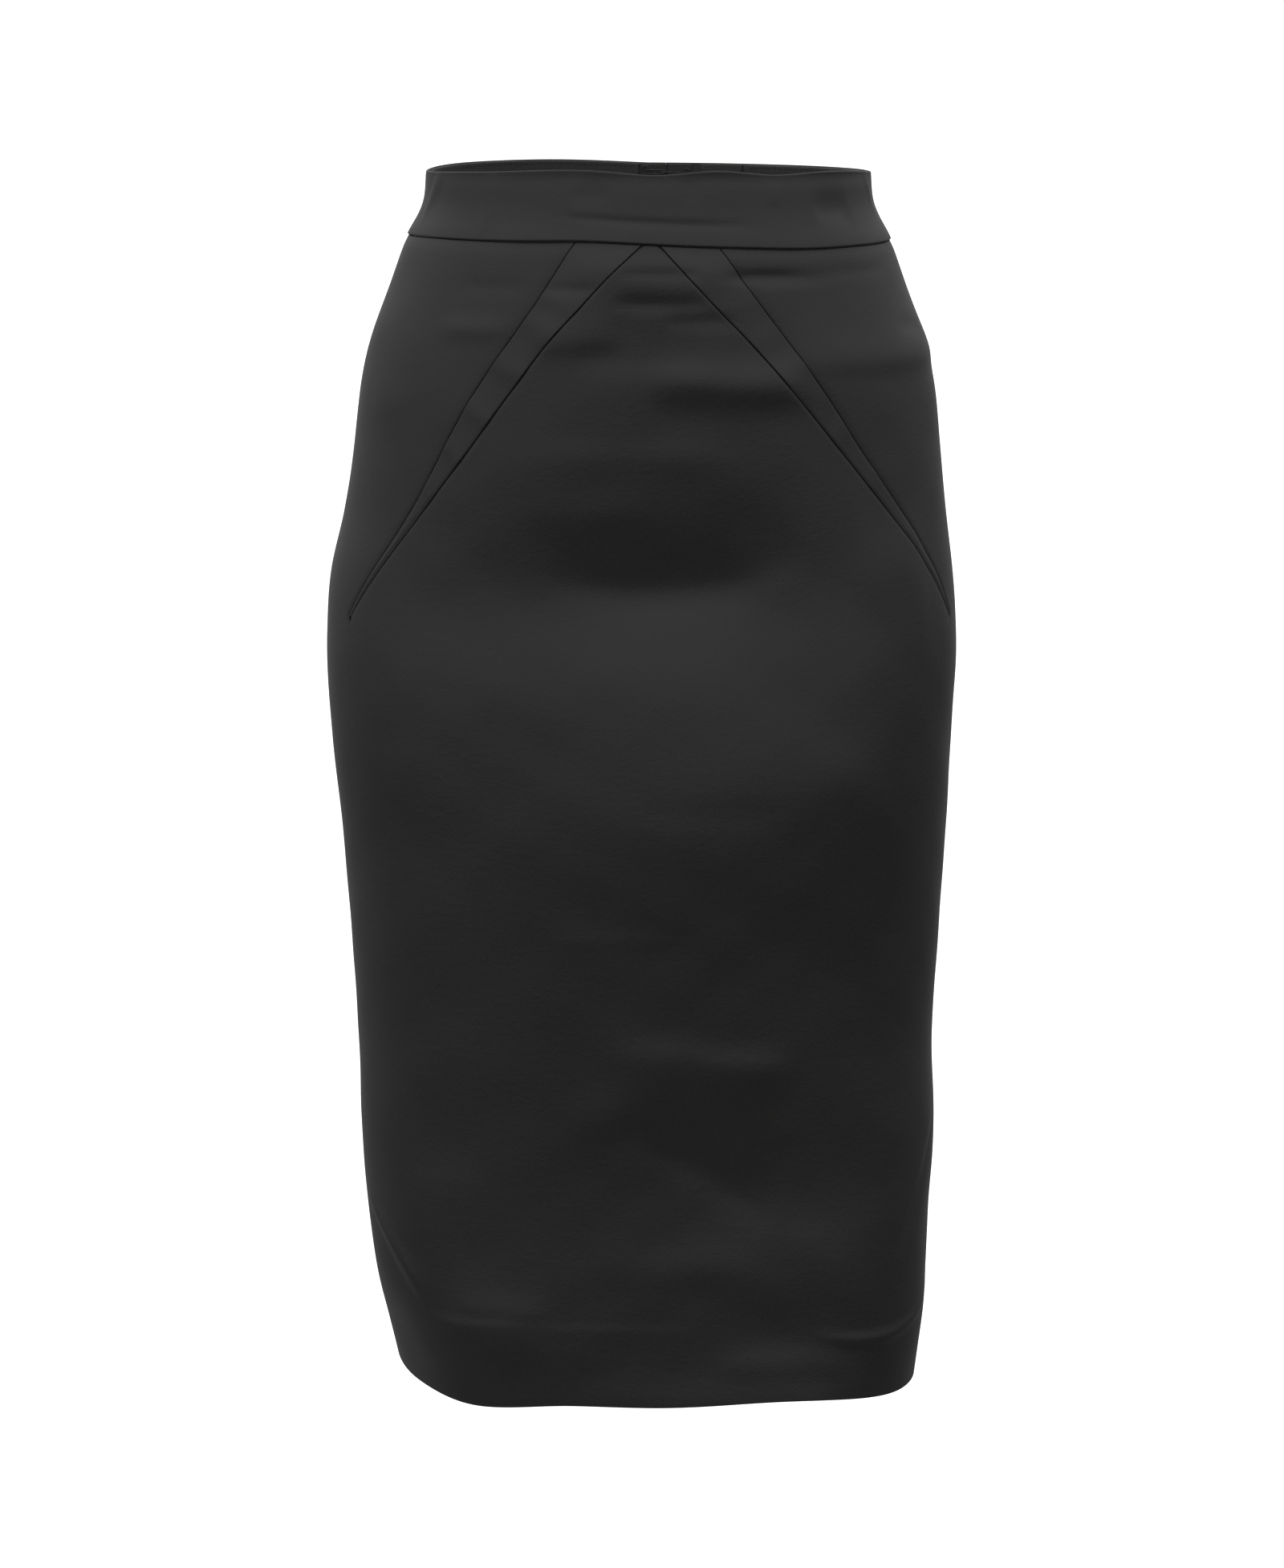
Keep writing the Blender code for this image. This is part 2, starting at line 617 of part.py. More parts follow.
def build_pull(frame, face, finish, group):
    """The pull tab, which turns on its top bar under the slider's bridge. Its half outline runs
    from the shoulders beside the window, in to the waist and out to the round end."""
    bar = PULL_THICK / 2
    shoulder, waist, bulb, slot = 0.0023, 0.0017, 0.0027, 0.0011
    window_at, waist_at, tail = 0.0050, 0.0085, PULL_LENGTH - bar - bulb
    steps = np.linspace(0, 1, 7)
    right = [(shoulder, bar), (shoulder, -window_at)]
    right += [(shoulder + (waist - shoulder) * (1 - math.cos(math.pi * t)) / 2,
               -window_at - (waist_at - window_at) * t) for t in steps[1:]]
    right += [(waist + (bulb - waist) * (1 - math.cos(math.pi * t)) / 2,
               -waist_at - (tail - waist_at) * t) for t in steps[1:-1]]
    end = arc((0, -tail), bulb, 0, -180, 11)
    left = [(-x, y) for x, y in reversed(right)]
    window = [(slot, -bar), (slot, -window_at), (-slot, -window_at), (-slot, -bar)]
    pull = outline_object("zip_pull", [right + end + left, window], PULL_THICK, finish, group)
    pull.matrix_world = upright(frame, face + PULL_PLAY + bar, PULL_PLAY)


def build_hook_and_eye(frame, finish, group):
    """A wire hook on the right of the zip, caught in a wire eye on the left, on the inside.
    In their frame X runs to the right and each storey of wire lies further into the skirt: the
    eye's bar is on storey 1, and the hook goes over it on storey 2 and back under it."""
    rest = TRIM_INSIDE - TRIM_WALL - SEAM - WIRE
    storey = 2 * WIRE + SEAM
    top = SECTIONS[0]
    round_back = top.half_width**2 / top.back
    ring, half_eye = 0.0011, 0.0010         # radius of the sewing rings, half the eye's width
    rings_at, rise_from, rise_to = 0.0115, 0.0100, 0.0070
    eye_bar, hook_bend = -0.0010, -0.0020

    def place(x, z, layer):
        return (x, rest - storey * layer - x**2 / (2 * round_back), z)

    upper = [place(x, z, 0) for x, z in arc((-rings_at, half_eye + ring), ring, 170, -90, 10)]
    upper += [place(-rise_from, half_eye, 0.2), place(-rise_to, half_eye, 1),
              place(eye_bar, half_eye, 1)]
    bar = [place(x, z, 1) for x, z in arc((eye_bar, 0), half_eye, 60, -60, 5)]
    eye = upper + bar + [(x, y, -z) for x, y, z in reversed(upper)]
    hook = [place(x, z, 0) for x, z in arc((rings_at, ring), ring, 10, 270, 10)]
    hook += [place(rise_from, 0, 0.3), place(rise_to, 0, 2), place(hook_bend, 0, 2)]
    hook += [place(hook_bend - storey * math.sin(a), 0, 1 + math.cos(a))
             for a in np.radians((45, 90, 135, 180))]
    hook += [place(eye_bar, 0, 0)]
    for name, route in (("waist_eye", eye), ("waist_hook", hook)):
        wire_object(name, route, WIRE, finish, group).matrix_world = frame


def main():
    """Build the skirt."""
    clear_scene()
    group = new_collection(OBJECT)
    cutters = new_collection(OBJECT + "_cutters")
    satin = material("black_satin", (0.022, 0.021, 0.021), 0.42)
    band_satin = material("waistband_satin", (0.024, 0.024, 0.025), 0.42)
    inset_satin = material("inset_satin", (0.026, 0.025, 0.025), 0.40)
    ribbon = material("ribbed_ribbon", (0.020, 0.020, 0.021), 0.65)
    twill = material("facing_twill", (0.024, 0.022, 0.020), 0.60)
    tape = material("zip_tape", (0.020, 0.018, 0.017), 0.70)
    dark_metal = material("painted_metal", (0.015, 0.015, 0.015), 0.35, 0.6)
    wire_metal = material("enamelled_wire", (0.030, 0.030, 0.030), 0.35, 0.6)

    build_front(satin, group)
    build_inset("inset_left", "left_outer", "left_inner", inset_satin, group)
    build_inset("inset_right", "right_inner", "right_outer", inset_satin, group)
    build_back_left(satin, group)
    build_back_right(satin, group)
    build_bands(band_satin, group)
    build_ribbon(ribbon, group)
    build_end_facing(twill, group)
    build_tapes(tape, group)

    frame = seam_frame(SLIDER_DROP, SLIDER_DROP + SLIDER_CHORD)
    face = build_slider(frame, dark_metal, group, cutters)
    build_pull(frame, face, dark_metal, group)
    build_hook_and_eye(seam_frame(HOOK_DROP, HOOK_DROP + HOOK_CHORD), wire_metal, group)


main()
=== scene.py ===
"""A black stretch-satin pencil skirt: its cloth, trims, stitching and finishes, and a small studio.

Units are metres and +Z is up; the front faces -Y, and left and right are as seen from the front.
Every cloth piece is a shell on one surface. A place on it is a turn round the body (0 at the
centre front, positive to the right, 180 degrees at the back) and a drop below the top edge.
"""

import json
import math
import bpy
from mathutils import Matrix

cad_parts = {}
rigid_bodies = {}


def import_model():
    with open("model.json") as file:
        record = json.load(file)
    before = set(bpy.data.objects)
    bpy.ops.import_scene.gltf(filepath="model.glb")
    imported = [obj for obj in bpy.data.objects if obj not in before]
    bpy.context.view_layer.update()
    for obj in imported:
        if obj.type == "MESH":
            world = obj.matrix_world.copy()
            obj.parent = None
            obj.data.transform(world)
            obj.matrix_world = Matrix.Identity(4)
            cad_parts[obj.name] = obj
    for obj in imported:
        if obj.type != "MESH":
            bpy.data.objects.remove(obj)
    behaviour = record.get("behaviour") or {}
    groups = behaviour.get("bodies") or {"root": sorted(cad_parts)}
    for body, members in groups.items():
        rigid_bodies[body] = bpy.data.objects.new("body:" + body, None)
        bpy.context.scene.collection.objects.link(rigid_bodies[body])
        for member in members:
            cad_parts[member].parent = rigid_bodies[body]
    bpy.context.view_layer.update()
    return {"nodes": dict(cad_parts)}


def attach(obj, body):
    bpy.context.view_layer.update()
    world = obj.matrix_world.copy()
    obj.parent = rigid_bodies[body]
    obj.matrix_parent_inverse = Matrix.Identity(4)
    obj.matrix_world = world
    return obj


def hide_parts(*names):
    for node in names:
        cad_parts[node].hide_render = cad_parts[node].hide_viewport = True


bl_info = {
    "name": "Pencil Skirt",
    "version": (1, 0, 0),
    "blender": (4, 5, 0),
    "location": "View3D > Sidebar > Skirt",
    "description": "Cloth, trims, stitching and studio of a black satin pencil skirt",
    "category": "Add Mesh",
}

from collections import namedtuple

import bpy
import numpy as np

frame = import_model()

# Cutting sizes ---------------------------------------------------------------------------------

BAND_DEPTH = 0.036
SKIRT_LENGTH = 0.6485
INSET_TIP = BAND_DEPTH + 0.196
SLOT_END = 0.2365
ZIP_END = 0.1786
VENT_TOP = SKIRT_LENGTH - 0.165
VENT_LAP = 0.038
HEM_TURNING = 0.040
HEM_LINE = SKIRT_LENGTH - HEM_TURNING
DART_TURN = math.radians(34)    # from the centre back to the dart at the waist
DART_END = 0.150

CLOTH = 0.0012
BAND_WALL = 0.0016
TRIM_WALL = 0.0010
RIBBON_WALL = 0.0008            # between its ribs
ALLOWANCE_WALL = 0.0007
SEAM = 0.0003
HALF_SEWN = 0.00007             # half the gap between two pieces that a seam holds together
LAYER_GAP = 0.0003
BAND_PROUD = 0.0004             # at its lower edge
BAND_EDGE_PROUD = 0.0003        # added to it over the last centimetre
INSET_PROUD = 0.0001
TRIM_INSIDE = -(BAND_WALL + SEAM)
TRIM_FACE = TRIM_INSIDE - TRIM_WALL

# Distances from a piece's edge over which it is rounded
CLOTH_ROUND = 0.00028
TRIM_ROUND = 0.0005
BAND_ROUND = 0.0006
ALLOWANCE_ROUND = 0.0007

TAPE_WIDTH = 0.0145
TAPE_MEETING = 0.0005           # the tapes meet this far beside the band's ends
FACING_FROM = 0.0190
FACING_TO = 0.0437
RIBBON_TOP = 0.0006
RIBBON_FOOT = 0.0315
RIBBON_LENGTH = 0.64
HALF_PARTING = 0.0012           # half the opening's width at the slider
CLOSED = 0.00002                # and where its sides meet
TAPE_DEEPER = 0.0004            # how far further in the tapes lie below the waistband

# The zip's coil and its stops
COIL_TOP = 0.0205
COIL_FOOT = ZIP_END - 0.004
COIL_OFF = 0.0007               # its middle's distance from the seam
COIL_IN = 0.00105               # and from the tapes' inner face
COIL_HALF_WIDTH = 0.0009
COIL_HALF_DEPTH = 0.00055
COIL_RADIUS = 0.00026           # of its wire
STOP_RADIUS = 0.0007
STOP_OFF = 0.0016
STOP_HALF_WIDTH = 0.0011

ALLOWANCE = 0.012
SHORT_ALLOWANCE = 0.6 * ALLOWANCE
SLIT_DEPTH = 0.0003             # the groove between two pressed-open allowances
SLIT_SHARE = 0.06               # its reach as a share of their width
TURNING_SHORT = 0.0004          # from the hem's edge to the turning's
TURNING_PAST_SEAM = 20          # in widths of the grid's first column
CUT_AT_SIDE = 7                 # columns that a back's turning ends before the side seam
CUT_AT_VENT = 2                 # and before the edge of the vent
BACK_SEAM_OFF = 0.0097          # the centre back's distance from the middle at the top

TOP_Z = BAND_DEPTH / 2
RIGHT_SIDE = math.radians(90)
LEFT_SIDE = math.radians(-90)
HALF_TURN = math.pi
FULL_TURN = 2 * math.pi
BEHIND_SIDE = 0.02              # a little turn, to where the back's slope is measured
BACK_SQUARE = 0.30
METRES_PER_DEGREE = 0.0026      # round the hips; creases are measured with it

Section = namedtuple("Section", "drop half_width shift front back square")
SECTIONS = (
    Section(0.000, 0.1183, 0.0034, 0.0920, 0.0935, 0.10),
    Section(0.016, 0.1196, 0.0034, 0.0930, 0.0945, 0.12),
    Section(0.036, 0.1288, 0.0032, 0.0980, 0.0980, 0.15),
    Section(0.060, 0.1375, 0.0032, 0.1020, 0.1045, 0.20),
    Section(0.085, 0.1466, 0.0030, 0.1050, 0.1110, 0.25),
    Section(0.110, 0.1526, 0.0030, 0.1070, 0.1160, 0.30),
    Section(0.145, 0.1564, 0.0028, 0.1090, 0.1210, 0.35),
    Section(0.180, 0.1607, 0.0017, 0.1100, 0.1240, 0.40),
    Section(0.210, 0.1660, 0.0000, 0.1110, 0.1250, 0.45),
    Section(0.245, 0.1684, -0.0002, 0.1115, 0.1240, 0.50),
    Section(0.300, 0.1661, -0.0002, 0.1110, 0.1190, 0.50),
    Section(0.350, 0.1620, 0.0012, 0.1100, 0.1140, 0.50),
    Section(0.400, 0.1585, 0.0016, 0.1080, 0.1090, 0.55),
    Section(0.460, 0.1546, 0.0018, 0.1060, 0.1040, 0.60),
    Section(0.510, 0.1544, 0.0030, 0.1040, 0.1010, 0.65),
    Section(0.560, 0.1511, 0.0037, 0.1020, 0.0980, 0.75),
    Section(0.590, 0.1484, 0.0050, 0.1010, 0.0960, 0.80),
    Section(0.615, 0.1446, 0.0072, 0.1000, 0.0950, 0.80),
    Section(0.655, 0.1370, 0.0096, 0.0985, 0.0930, 0.80),
)

Inset = namedtuple("Inset", "drop left_outer left_inner right_inner right_outer")
INSETS = (
    Inset(0.036, -17.5, -1.4, 2.7, 16.9),
    Inset(0.060, -23.7, -12.1, 12.2, 23.4),
    Inset(0.085, -29.8, -20.8, 21.5, 30.1),
    Inset(0.110, -36.1, -27.8, 29.6, 36.9),
    Inset(0.136, -42.2, -35.3, 38.4, 44.1),
    Inset(0.166, -48.7, -44.5, 49.4, 54.0),
    Inset(0.190, -54.6, -51.9, 59.1, 62.8),
    Inset(0.210, -60.2, -58.2, 67.5, 70.3),
    Inset(0.232, -67.2, -66.2, 76.0, 77.3),
)

Edge = namedtuple("Edge", "turn rise")
HEM_EDGE = (
    Edge(-180, 0.000), Edge(-90, 0.013), Edge(-66, 0.007), Edge(-45, -0.001), Edge(-20, 0.000),
    Edge(0, -0.001), Edge(30, 0.002), Edge(65, 0.001), Edge(90, 0.000), Edge(180, 0.000),
)
TOP_EDGE = (
    Edge(-180, 0.0004), Edge(-160, 0.0022), Edge(-125, 0.0020), Edge(-90, 0.0005),
    Edge(-48, 0.0025), Edge(-14, 0.0042), Edge(2, 0.0020), Edge(17, 0.0040), Edge(34, 0.0015),
    Edge(50, 0.0025), Edge(90, 0.0000), Edge(180, 0.0004),
)
WAIST_EDGE = (
    Edge(-180, 0.0000), Edge(-140, 0.0006), Edge(-90, 0.0027), Edge(-62, 0.0033),
    Edge(-34, 0.0032), Edge(-14, 0.0036), Edge(-2, 0.0024), Edge(10, 0.0011), Edge(24, 0.0000),
    Edge(38, -0.0010), Edge(60, -0.0006), Edge(90, 0.0000), Edge(180, 0.0000),
)
HEM_FADE = 0.060
TOP_FADE = 0.026
WAIST_FADE = 0.030

# Broad swells of the cloth: middle, reach to each side in degrees, reach up and down, height.
Swell = namedtuple("Swell", "turn drop wide above below height")
SWELLS = (
    Swell(4.0, 0.219, 30.0, 0.047, 0.034, -0.0083),
    Swell(-44.0, 0.218, 34.0, 0.036, 0.038, -0.0046),
    Swell(6.0, 0.112, 34.0, 0.040, 0.024, 0.0010),
    Swell(1.0, 0.124, 24.0, 0.045, 0.090, -0.0030),
    Swell(22.0, 0.107, 22.0, 0.012, 0.012, 0.0014),
    Swell(70.0, 0.096, 24.0, 0.013, 0.013, 0.0014),
    Swell(10.0, 0.214, 13.0, 0.028, 0.024, -0.0012),
    Swell(40.0, 0.322, 34.0, 0.044, 0.070, 0.0062),
    Swell(0.0, 0.345, 30.0, 0.055, 0.080, 0.0028),
    Swell(-52.0, 0.345, 24.0, 0.080, 0.140, 0.0045),
    Swell(58.0, 0.286, 24.0, 0.060, 0.080, 0.0048),
    Swell(22.0, 0.535, 28.0, 0.048, 0.040, -0.0038),
    Swell(28.0, 0.608, 22.0, 0.028, 0.026, -0.0022),
    Swell(-38.0, 0.617, 22.0, 0.025, 0.022, 0.0032),
)

# Creases: a soft ridge (or trough, where the height is negative) from one place to another, how
# far its middle hangs below the straight line, and its reach on the upper and the lower side.
Crease = namedtuple("Crease", "turn drop to_turn to_drop bow above below height")
CREASES = (
    # under the waistband
    Crease(-22.0, 0.0480, 24.0, 0.0500, 0.000, 0.0090, 0.0200, 0.0024),
    Crease(-16.0, 0.0920, 14.0, 0.0920, 0.000, 0.0200, 0.0080, -0.0012),
    Crease(14.0, 0.0510, 48.0, 0.0520, 0.000, 0.0038, 0.0034, -0.0008),
    Crease(18.0, 0.0508, 38.0, 0.0514, 0.000, 0.0038, 0.0034, -0.0010),
    Crease(40.0, 0.0500, 70.0, 0.0490, 0.000, 0.0034, 0.0034, -0.0004),
    Crease(-8.0, 0.0490, 13.0, 0.0495, 0.000, 0.0030, 0.0026, -0.0010),
    Crease(-9.0, 0.0640, 15.0, 0.0640, 0.001, 0.0042, 0.0036, -0.0010),
    Crease(2.0, 0.0735, 20.0, 0.0740, 0.000, 0.0044, 0.0040, -0.0008),
    Crease(-48.0, 0.0560, -26.0, 0.0565, 0.000, 0.0040, 0.0040, -0.0005),
    Crease(-50.0, 0.0777, -29.0, 0.0777, 0.001, 0.0055, 0.0050, 0.0012),
    Crease(-26.0, 0.0840, -4.0, 0.0810, 0.000, 0.0140, 0.0080, 0.0014),
    Crease(-25.0, 0.0575, -10.0, 0.0570, 0.000, 0.0034, 0.0032, -0.0006),
    Crease(66.0, 0.0800, 80.0, 0.0805, 0.000, 0.0045, 0.0040, -0.0006),
    # across the belly to the right hip, and the hollow's lower rim
    Crease(-2.0, 0.1030, 36.0, 0.1070, 0.000, 0.0090, 0.0110, 0.0018),
    Crease(20.0, 0.0950, 112.0, 0.0920, 0.001, 0.0130, 0.0070, 0.0014),
    Crease(-72.0, 0.1180, -52.0, 0.1190, 0.000, 0.0130, 0.0100, 0.0006),
    Crease(-30.0, 0.1440, 22.0, 0.1445, 0.000, 0.0080, 0.0100, 0.0005),
    Crease(-26.0, 0.1750, 6.0, 0.1745, 0.000, 0.0080, 0.0090, 0.0003),
    Crease(-24.0, 0.1970, 34.0, 0.1900, 0.019, 0.0200, 0.0120, -0.0013),
    Crease(-20.0, 0.2140, 26.0, 0.2120, 0.005, 0.0130, 0.0120, -0.0011),
    Crease(40.0, 0.2100, 66.0, 0.2080, 0.000, 0.0300, 0.0300, 0.0016),
    # lower front
    Crease(-4.0, 0.3290, 32.0, 0.3290, 0.002, 0.0070, 0.0070, -0.0002),
    Crease(-20.0, 0.3980, 8.0, 0.3975, 0.000, 0.0040, 0.0050, 0.0002),
    Crease(-12.0, 0.4610, 32.0, 0.4690, -0.001, 0.0110, 0.0240, 0.0011),
    Crease(8.0, 0.4660, 32.0, 0.4700, 0.000, 0.0090, 0.0120, 0.0007),
    Crease(-18.0, 0.4980, 12.0, 0.5060, -0.006, 0.0140, 0.0140, 0.0005),
    Crease(-8.0, 0.4930, 27.0, 0.5500, -0.002, 0.0170, 0.0110, -0.0013),
    Crease(-14.0, 0.5760, 24.0, 0.5740, 0.000, 0.0110, 0.0100, 0.0005),
    Crease(18.0, 0.5600, 40.0, 0.5610, 0.000, 0.0090, 0.0120, 0.0003),
    Crease(-60.0, 0.5310, -30.0, 0.5280, 0.000, 0.0080, 0.0120, 0.0002),
    Crease(-47.0, 0.5950, -20.0, 0.5990, 0.000, 0.0070, 0.0060, 0.0004),
    # lower left corner and lower right corner
    Crease(-83.0, 0.5380, -53.0, 0.5980, -0.006, 0.0070, 0.0042, 0.0015),
    Crease(84.0, 0.4980, 60.0, 0.5740, 0.000, 0.0070, 0.0038, -0.0008),
    Crease(34.0, 0.6110, 88.0, 0.5960, 0.010, 0.0034, 0.0032, 0.0009),
    # hem line and the edge below it
    Crease(-60.0, 0.6030, -25.0, 0.6060, 0.000, 0.0026, 0.0080, 0.0005),
    Crease(-30.0, 0.6065, 10.0, 0.6085, 0.000, 0.0024, 0.0060, 0.0002),
    Crease(10.0, 0.6290, 46.0, 0.6280, -0.002, 0.0080, 0.0080, 0.0006),
    Crease(-74.0, 0.6480, 80.0, 0.6480, 0.000, 0.0120, 0.0050, 0.0009),
    # back
    Crease(140.0, 0.0520, 196.0, 0.0540, 0.003, 0.0050, 0.0050, 0.0009),
    Crease(196.0, 0.0560, 226.0, 0.0500, 0.002, 0.0045, 0.0045, 0.0007),
    Crease(128.0, 0.0820, 168.0, 0.0880, 0.002, 0.0060, 0.0050, -0.0008),
    Crease(190.0, 0.1560, 232.0, 0.1480, 0.003, 0.0080, 0.0070, 0.0007),
    Crease(150.0, 0.2980, 214.0, 0.3060, 0.010, 0.0110, 0.0120, 0.0016),
    Crease(134.0, 0.3380, 172.0, 0.3300, 0.003, 0.0080, 0.0080, -0.0010),
    Crease(190.0, 0.3560, 240.0, 0.3420, 0.005, 0.0090, 0.0080, 0.0010),
    Crease(146.0, 0.4300, 188.0, 0.4200, 0.002, 0.0080, 0.0080, 0.0008),
    Crease(118.0, 0.5560, 150.0, 0.5300, 0.003, 0.0080, 0.0070, 0.0008),
    Crease(208.0, 0.5200, 244.0, 0.5560, 0.002, 0.0080, 0.0070, 0.0009),
)

# Creases of the waistband, measured the same way
BAND_CREASES = (
    Crease(-26.0, 0.0195, 28.0, 0.0250, 0.001, 0.0024, 0.0020, -0.0008),
    Crease(-82.0, 0.0370, -34.0, 0.0370, 0.000, 0.0090, 0.0060, -0.0008),
    Crease(-21.0, 0.0085, -9.0, 0.0085, 0.000, 0.0050, 0.0050, -0.0006),
    Crease(45.0, 0.0175, 61.0, 0.0175, 0.000, 0.0090, 0.0070, -0.0014),
    Crease(-66.0, -0.0040, -77.0, 0.0240, 0.000, 0.0060, 0.0050, 0.0007),
    Crease(75.0, -0.0040, 80.0, 0.0240, 0.000, 0.0050, 0.0050, 0.0004),
    Crease(-100.0, 0.0165, 100.0, 0.0165, 0.000, 0.0120, 0.0130, 0.0011),
    Crease(-44.0, -0.0040, -43.0, 0.0300, 0.000, 0.0060, 0.0060, 0.0005),
    Crease(-19.0, -0.0040, -18.0, 0.0260, 0.000, 0.0060, 0.0060, 0.0004),
    Crease(10.0, 0.0000, 11.0, 0.0140, 0.000, 0.0060, 0.0060, -0.0003),
    Crease(34.0, 0.0020, 33.0, 0.0160, 0.000, 0.0060, 0.0060, 0.0003),
    Crease(150.0, 0.0220, 176.0, 0.0260, 0.001, 0.0025, 0.0025, -0.0004),
    Crease(196.0, 0.0250, 228.0, 0.0200, 0.001, 0.0025, 0.0025, -0.0004),
    Crease(120.0, 0.0000, 122.0, 0.0220, 0.000, 0.0070, 0.0070, -0.0005),
    Crease(238.0, 0.0000, 236.0, 0.0240, 0.000, 0.0070, 0.0070, 0.0005),
)

# Puckers across the insets: which one, drop, reach along it and height
Pucker = namedtuple("Pucker", "side drop reach height")
PUCKERS = (
    Pucker(-1, 0.0640, 0.0045, 0.00050), Pucker(-1, 0.0770, 0.0050, 0.00055),
    Pucker(-1, 0.0985, 0.0055, 0.00070), Pucker(-1, 0.1220, 0.0050, 0.00060),
    Pucker(-1, 0.1430, 0.0050, 0.00055), Pucker(-1, 0.1640, 0.0045, 0.00045),
    Pucker(1, 0.0660, 0.0050, 0.00030), Pucker(1, 0.0830, 0.0050, 0.00040),
    Pucker(1, 0.1000, 0.0050, 0.00030), Pucker(1, 0.1330, 0.0050, 0.00035),
    Pucker(1, 0.1580, 0.0045, 0.00030),
)

# The studio's brightness by height in degrees, towards the front and towards the back
Sky = namedtuple("Sky", "height front rear")
SKY = (
    Sky(-90, 0.46, 0.42), Sky(-46, 0.43, 0.52), Sky(-35, 0.16, 0.50), Sky(-27, 0.02, 0.46),
    Sky(-19, 0.02, 0.18), Sky(-12, 0.10, 0.10), Sky(-6, 0.60, 0.20), Sky(0, 0.95, 0.25),
    Sky(6, 0.92, 0.35), Sky(13, 0.82, 0.50), Sky(20, 0.90, 0.75), Sky(32, 1.20, 0.90),
    Sky(56, 1.30, 1.00), Sky(76, 0.60, 0.50),
)

INNER_FOLD = 0.9                # share of the seam's turn-in that an inset's inner edge has
BAND_FOLD = 0.7                 # and the waistband's ends
PUCKER_SLANT = 0.010            # the puckers' fall from the outer to the inner edge
PUCKER_FADE = 0.012             # an inset narrower than this has lower puckers
EDGE_TONE = 0.0022              # how far in from its edge a piece's cloth looks duller

# Columns of the front's grid left of the slots, between them and right of them
FRONT_COLUMNS = (34, 116, 32)

# Distances of the first columns and rows of a grid from the edge of the cloth
LIP = np.array([0.0, 0.0002, 0.0005, 0.0010, 0.0019])


# The surface -----------------------------------------------------------------------------------

def column(table, key, name, at):
    """The column of a table at the places `at`, on a smooth cubic through its rows."""
    keys = np.array([getattr(row, key) for row in table], float)
    values = np.array([getattr(row, name) for row in table], float)
    slopes = np.gradient(values, keys)
    at = np.clip(np.asarray(at, float), keys[0], keys[-1])
    low = np.clip(np.searchsorted(keys, at) - 1, 0, len(keys) - 2)
    span = keys[low + 1] - keys[low]
    t = (at - keys[low]) / span
    return ((2 * t**3 - 3 * t**2 + 1) * values[low] + (t**3 - 2 * t**2 + t) * span * slopes[low]
            + (3 * t**2 - 2 * t**3) * values[low + 1] + (t**3 - t**2) * span * slopes[low + 1])


def section(name, drop):
    """One column of SECTIONS at a drop."""
    return column(SECTIONS, "drop", name, drop)


def wrapped(degrees):
    """Degrees brought between -180 and 180."""
    return (degrees + 180) % 360 - 180


def unit(vectors):
    """Vectors brought to a length of 1."""
    return vectors / np.linalg.norm(vectors, axis=-1, keepdims=True)


def travelled(points):
    """How far each point of a row is from the row's first, along the row."""
    steps = np.diff(points, axis=-2, prepend=points[..., :1, :])
    return np.cumsum(np.linalg.norm(steps, axis=-1), axis=-1)


def bell(distance, reach):
    """A soft hump, exp(-(distance / reach)^2)."""
    return np.exp(-(distance / reach)**2)


def eased(value, start, reach):
    """0 up to a start, 1 from a reach beyond it, and t^2 (3 - 2 t) between."""
    t = np.clip((value - start) / reach, 0, 1)
    return t * t * (3 - 2 * t)


def swell_height(turn, drop):
    """The broad swells: height * exp(-(turn / wide)^2 - (drop / reach)^2) for each."""
    degrees = wrapped(np.degrees(turn))
    height = np.zeros(np.broadcast(turn, drop).shape)
    for swell in SWELLS:
        reach = np.where(drop < swell.drop, swell.above, swell.below)
        height += (swell.height * bell(wrapped(degrees - swell.turn), swell.wide)
                   * bell(drop - swell.drop, reach))
    return height


def bare_surface(turn, drop):
    """The surface with no offset. Its width follows the sine of the turn and its depth the
    cosine, made squarer by 1 + square * (sin^2 + sin^4) / 2."""
    sine, cosine = np.sin(turn), np.cos(turn)
    forward = cosine > 0
    square = np.where(forward, section("square", drop), BACK_SQUARE)
    depth = np.where(forward, section("front", drop), section("back", drop))
    depth = depth + np.where(forward, swell_height(turn, drop), 0.0)
    x = section("shift", drop) + section("half_width", drop) * sine
    y = -depth * cosine * (1 + square * (sine**2 + sine**4) / 2)
    return np.stack([x, y, TOP_Z - drop + 0 * x], axis=-1)


def outward(turn, drop):
    """Unit normals of the bare surface, from the cross product of its two slopes."""
    step = 1e-4
    along = bare_surface(turn + step, drop) - bare_surface(turn - step, drop)
    down = bare_surface(turn, drop + step) - bare_surface(turn, drop - step)
    return unit(np.cross(down, along))


def surface(turn, drop, out=0.0):
    """Points of the surface, moved out along its normal."""
    turn, drop = np.broadcast_arrays(np.asarray(turn, float), np.asarray(drop, float))
    return bare_surface(turn, drop) + outward(turn, drop) * np.asarray(out, float)[..., None]


def level(turn, drop, distance=1.0):
    """The change of turn that moves a place level along the surface by a distance."""
    step = 1e-4
    reach = np.linalg.norm(bare_surface(turn + step, drop) - bare_surface(turn, drop), axis=-1)
    return distance * step / reach


def back_seam(drop):
    """The turn of the centre back, off centre at the top and true at the hem."""
    off = BACK_SEAM_OFF * (1 - np.asarray(drop) / SKIRT_LENGTH)
    return HALF_TURN - np.arcsin(off / section("half_width", drop))


def beside_back_seam(drop, distance):
    """The turn at a distance to the left of the centre back, or to the right if negative."""
    seam = back_seam(drop)
    return seam + level(seam, drop, distance)


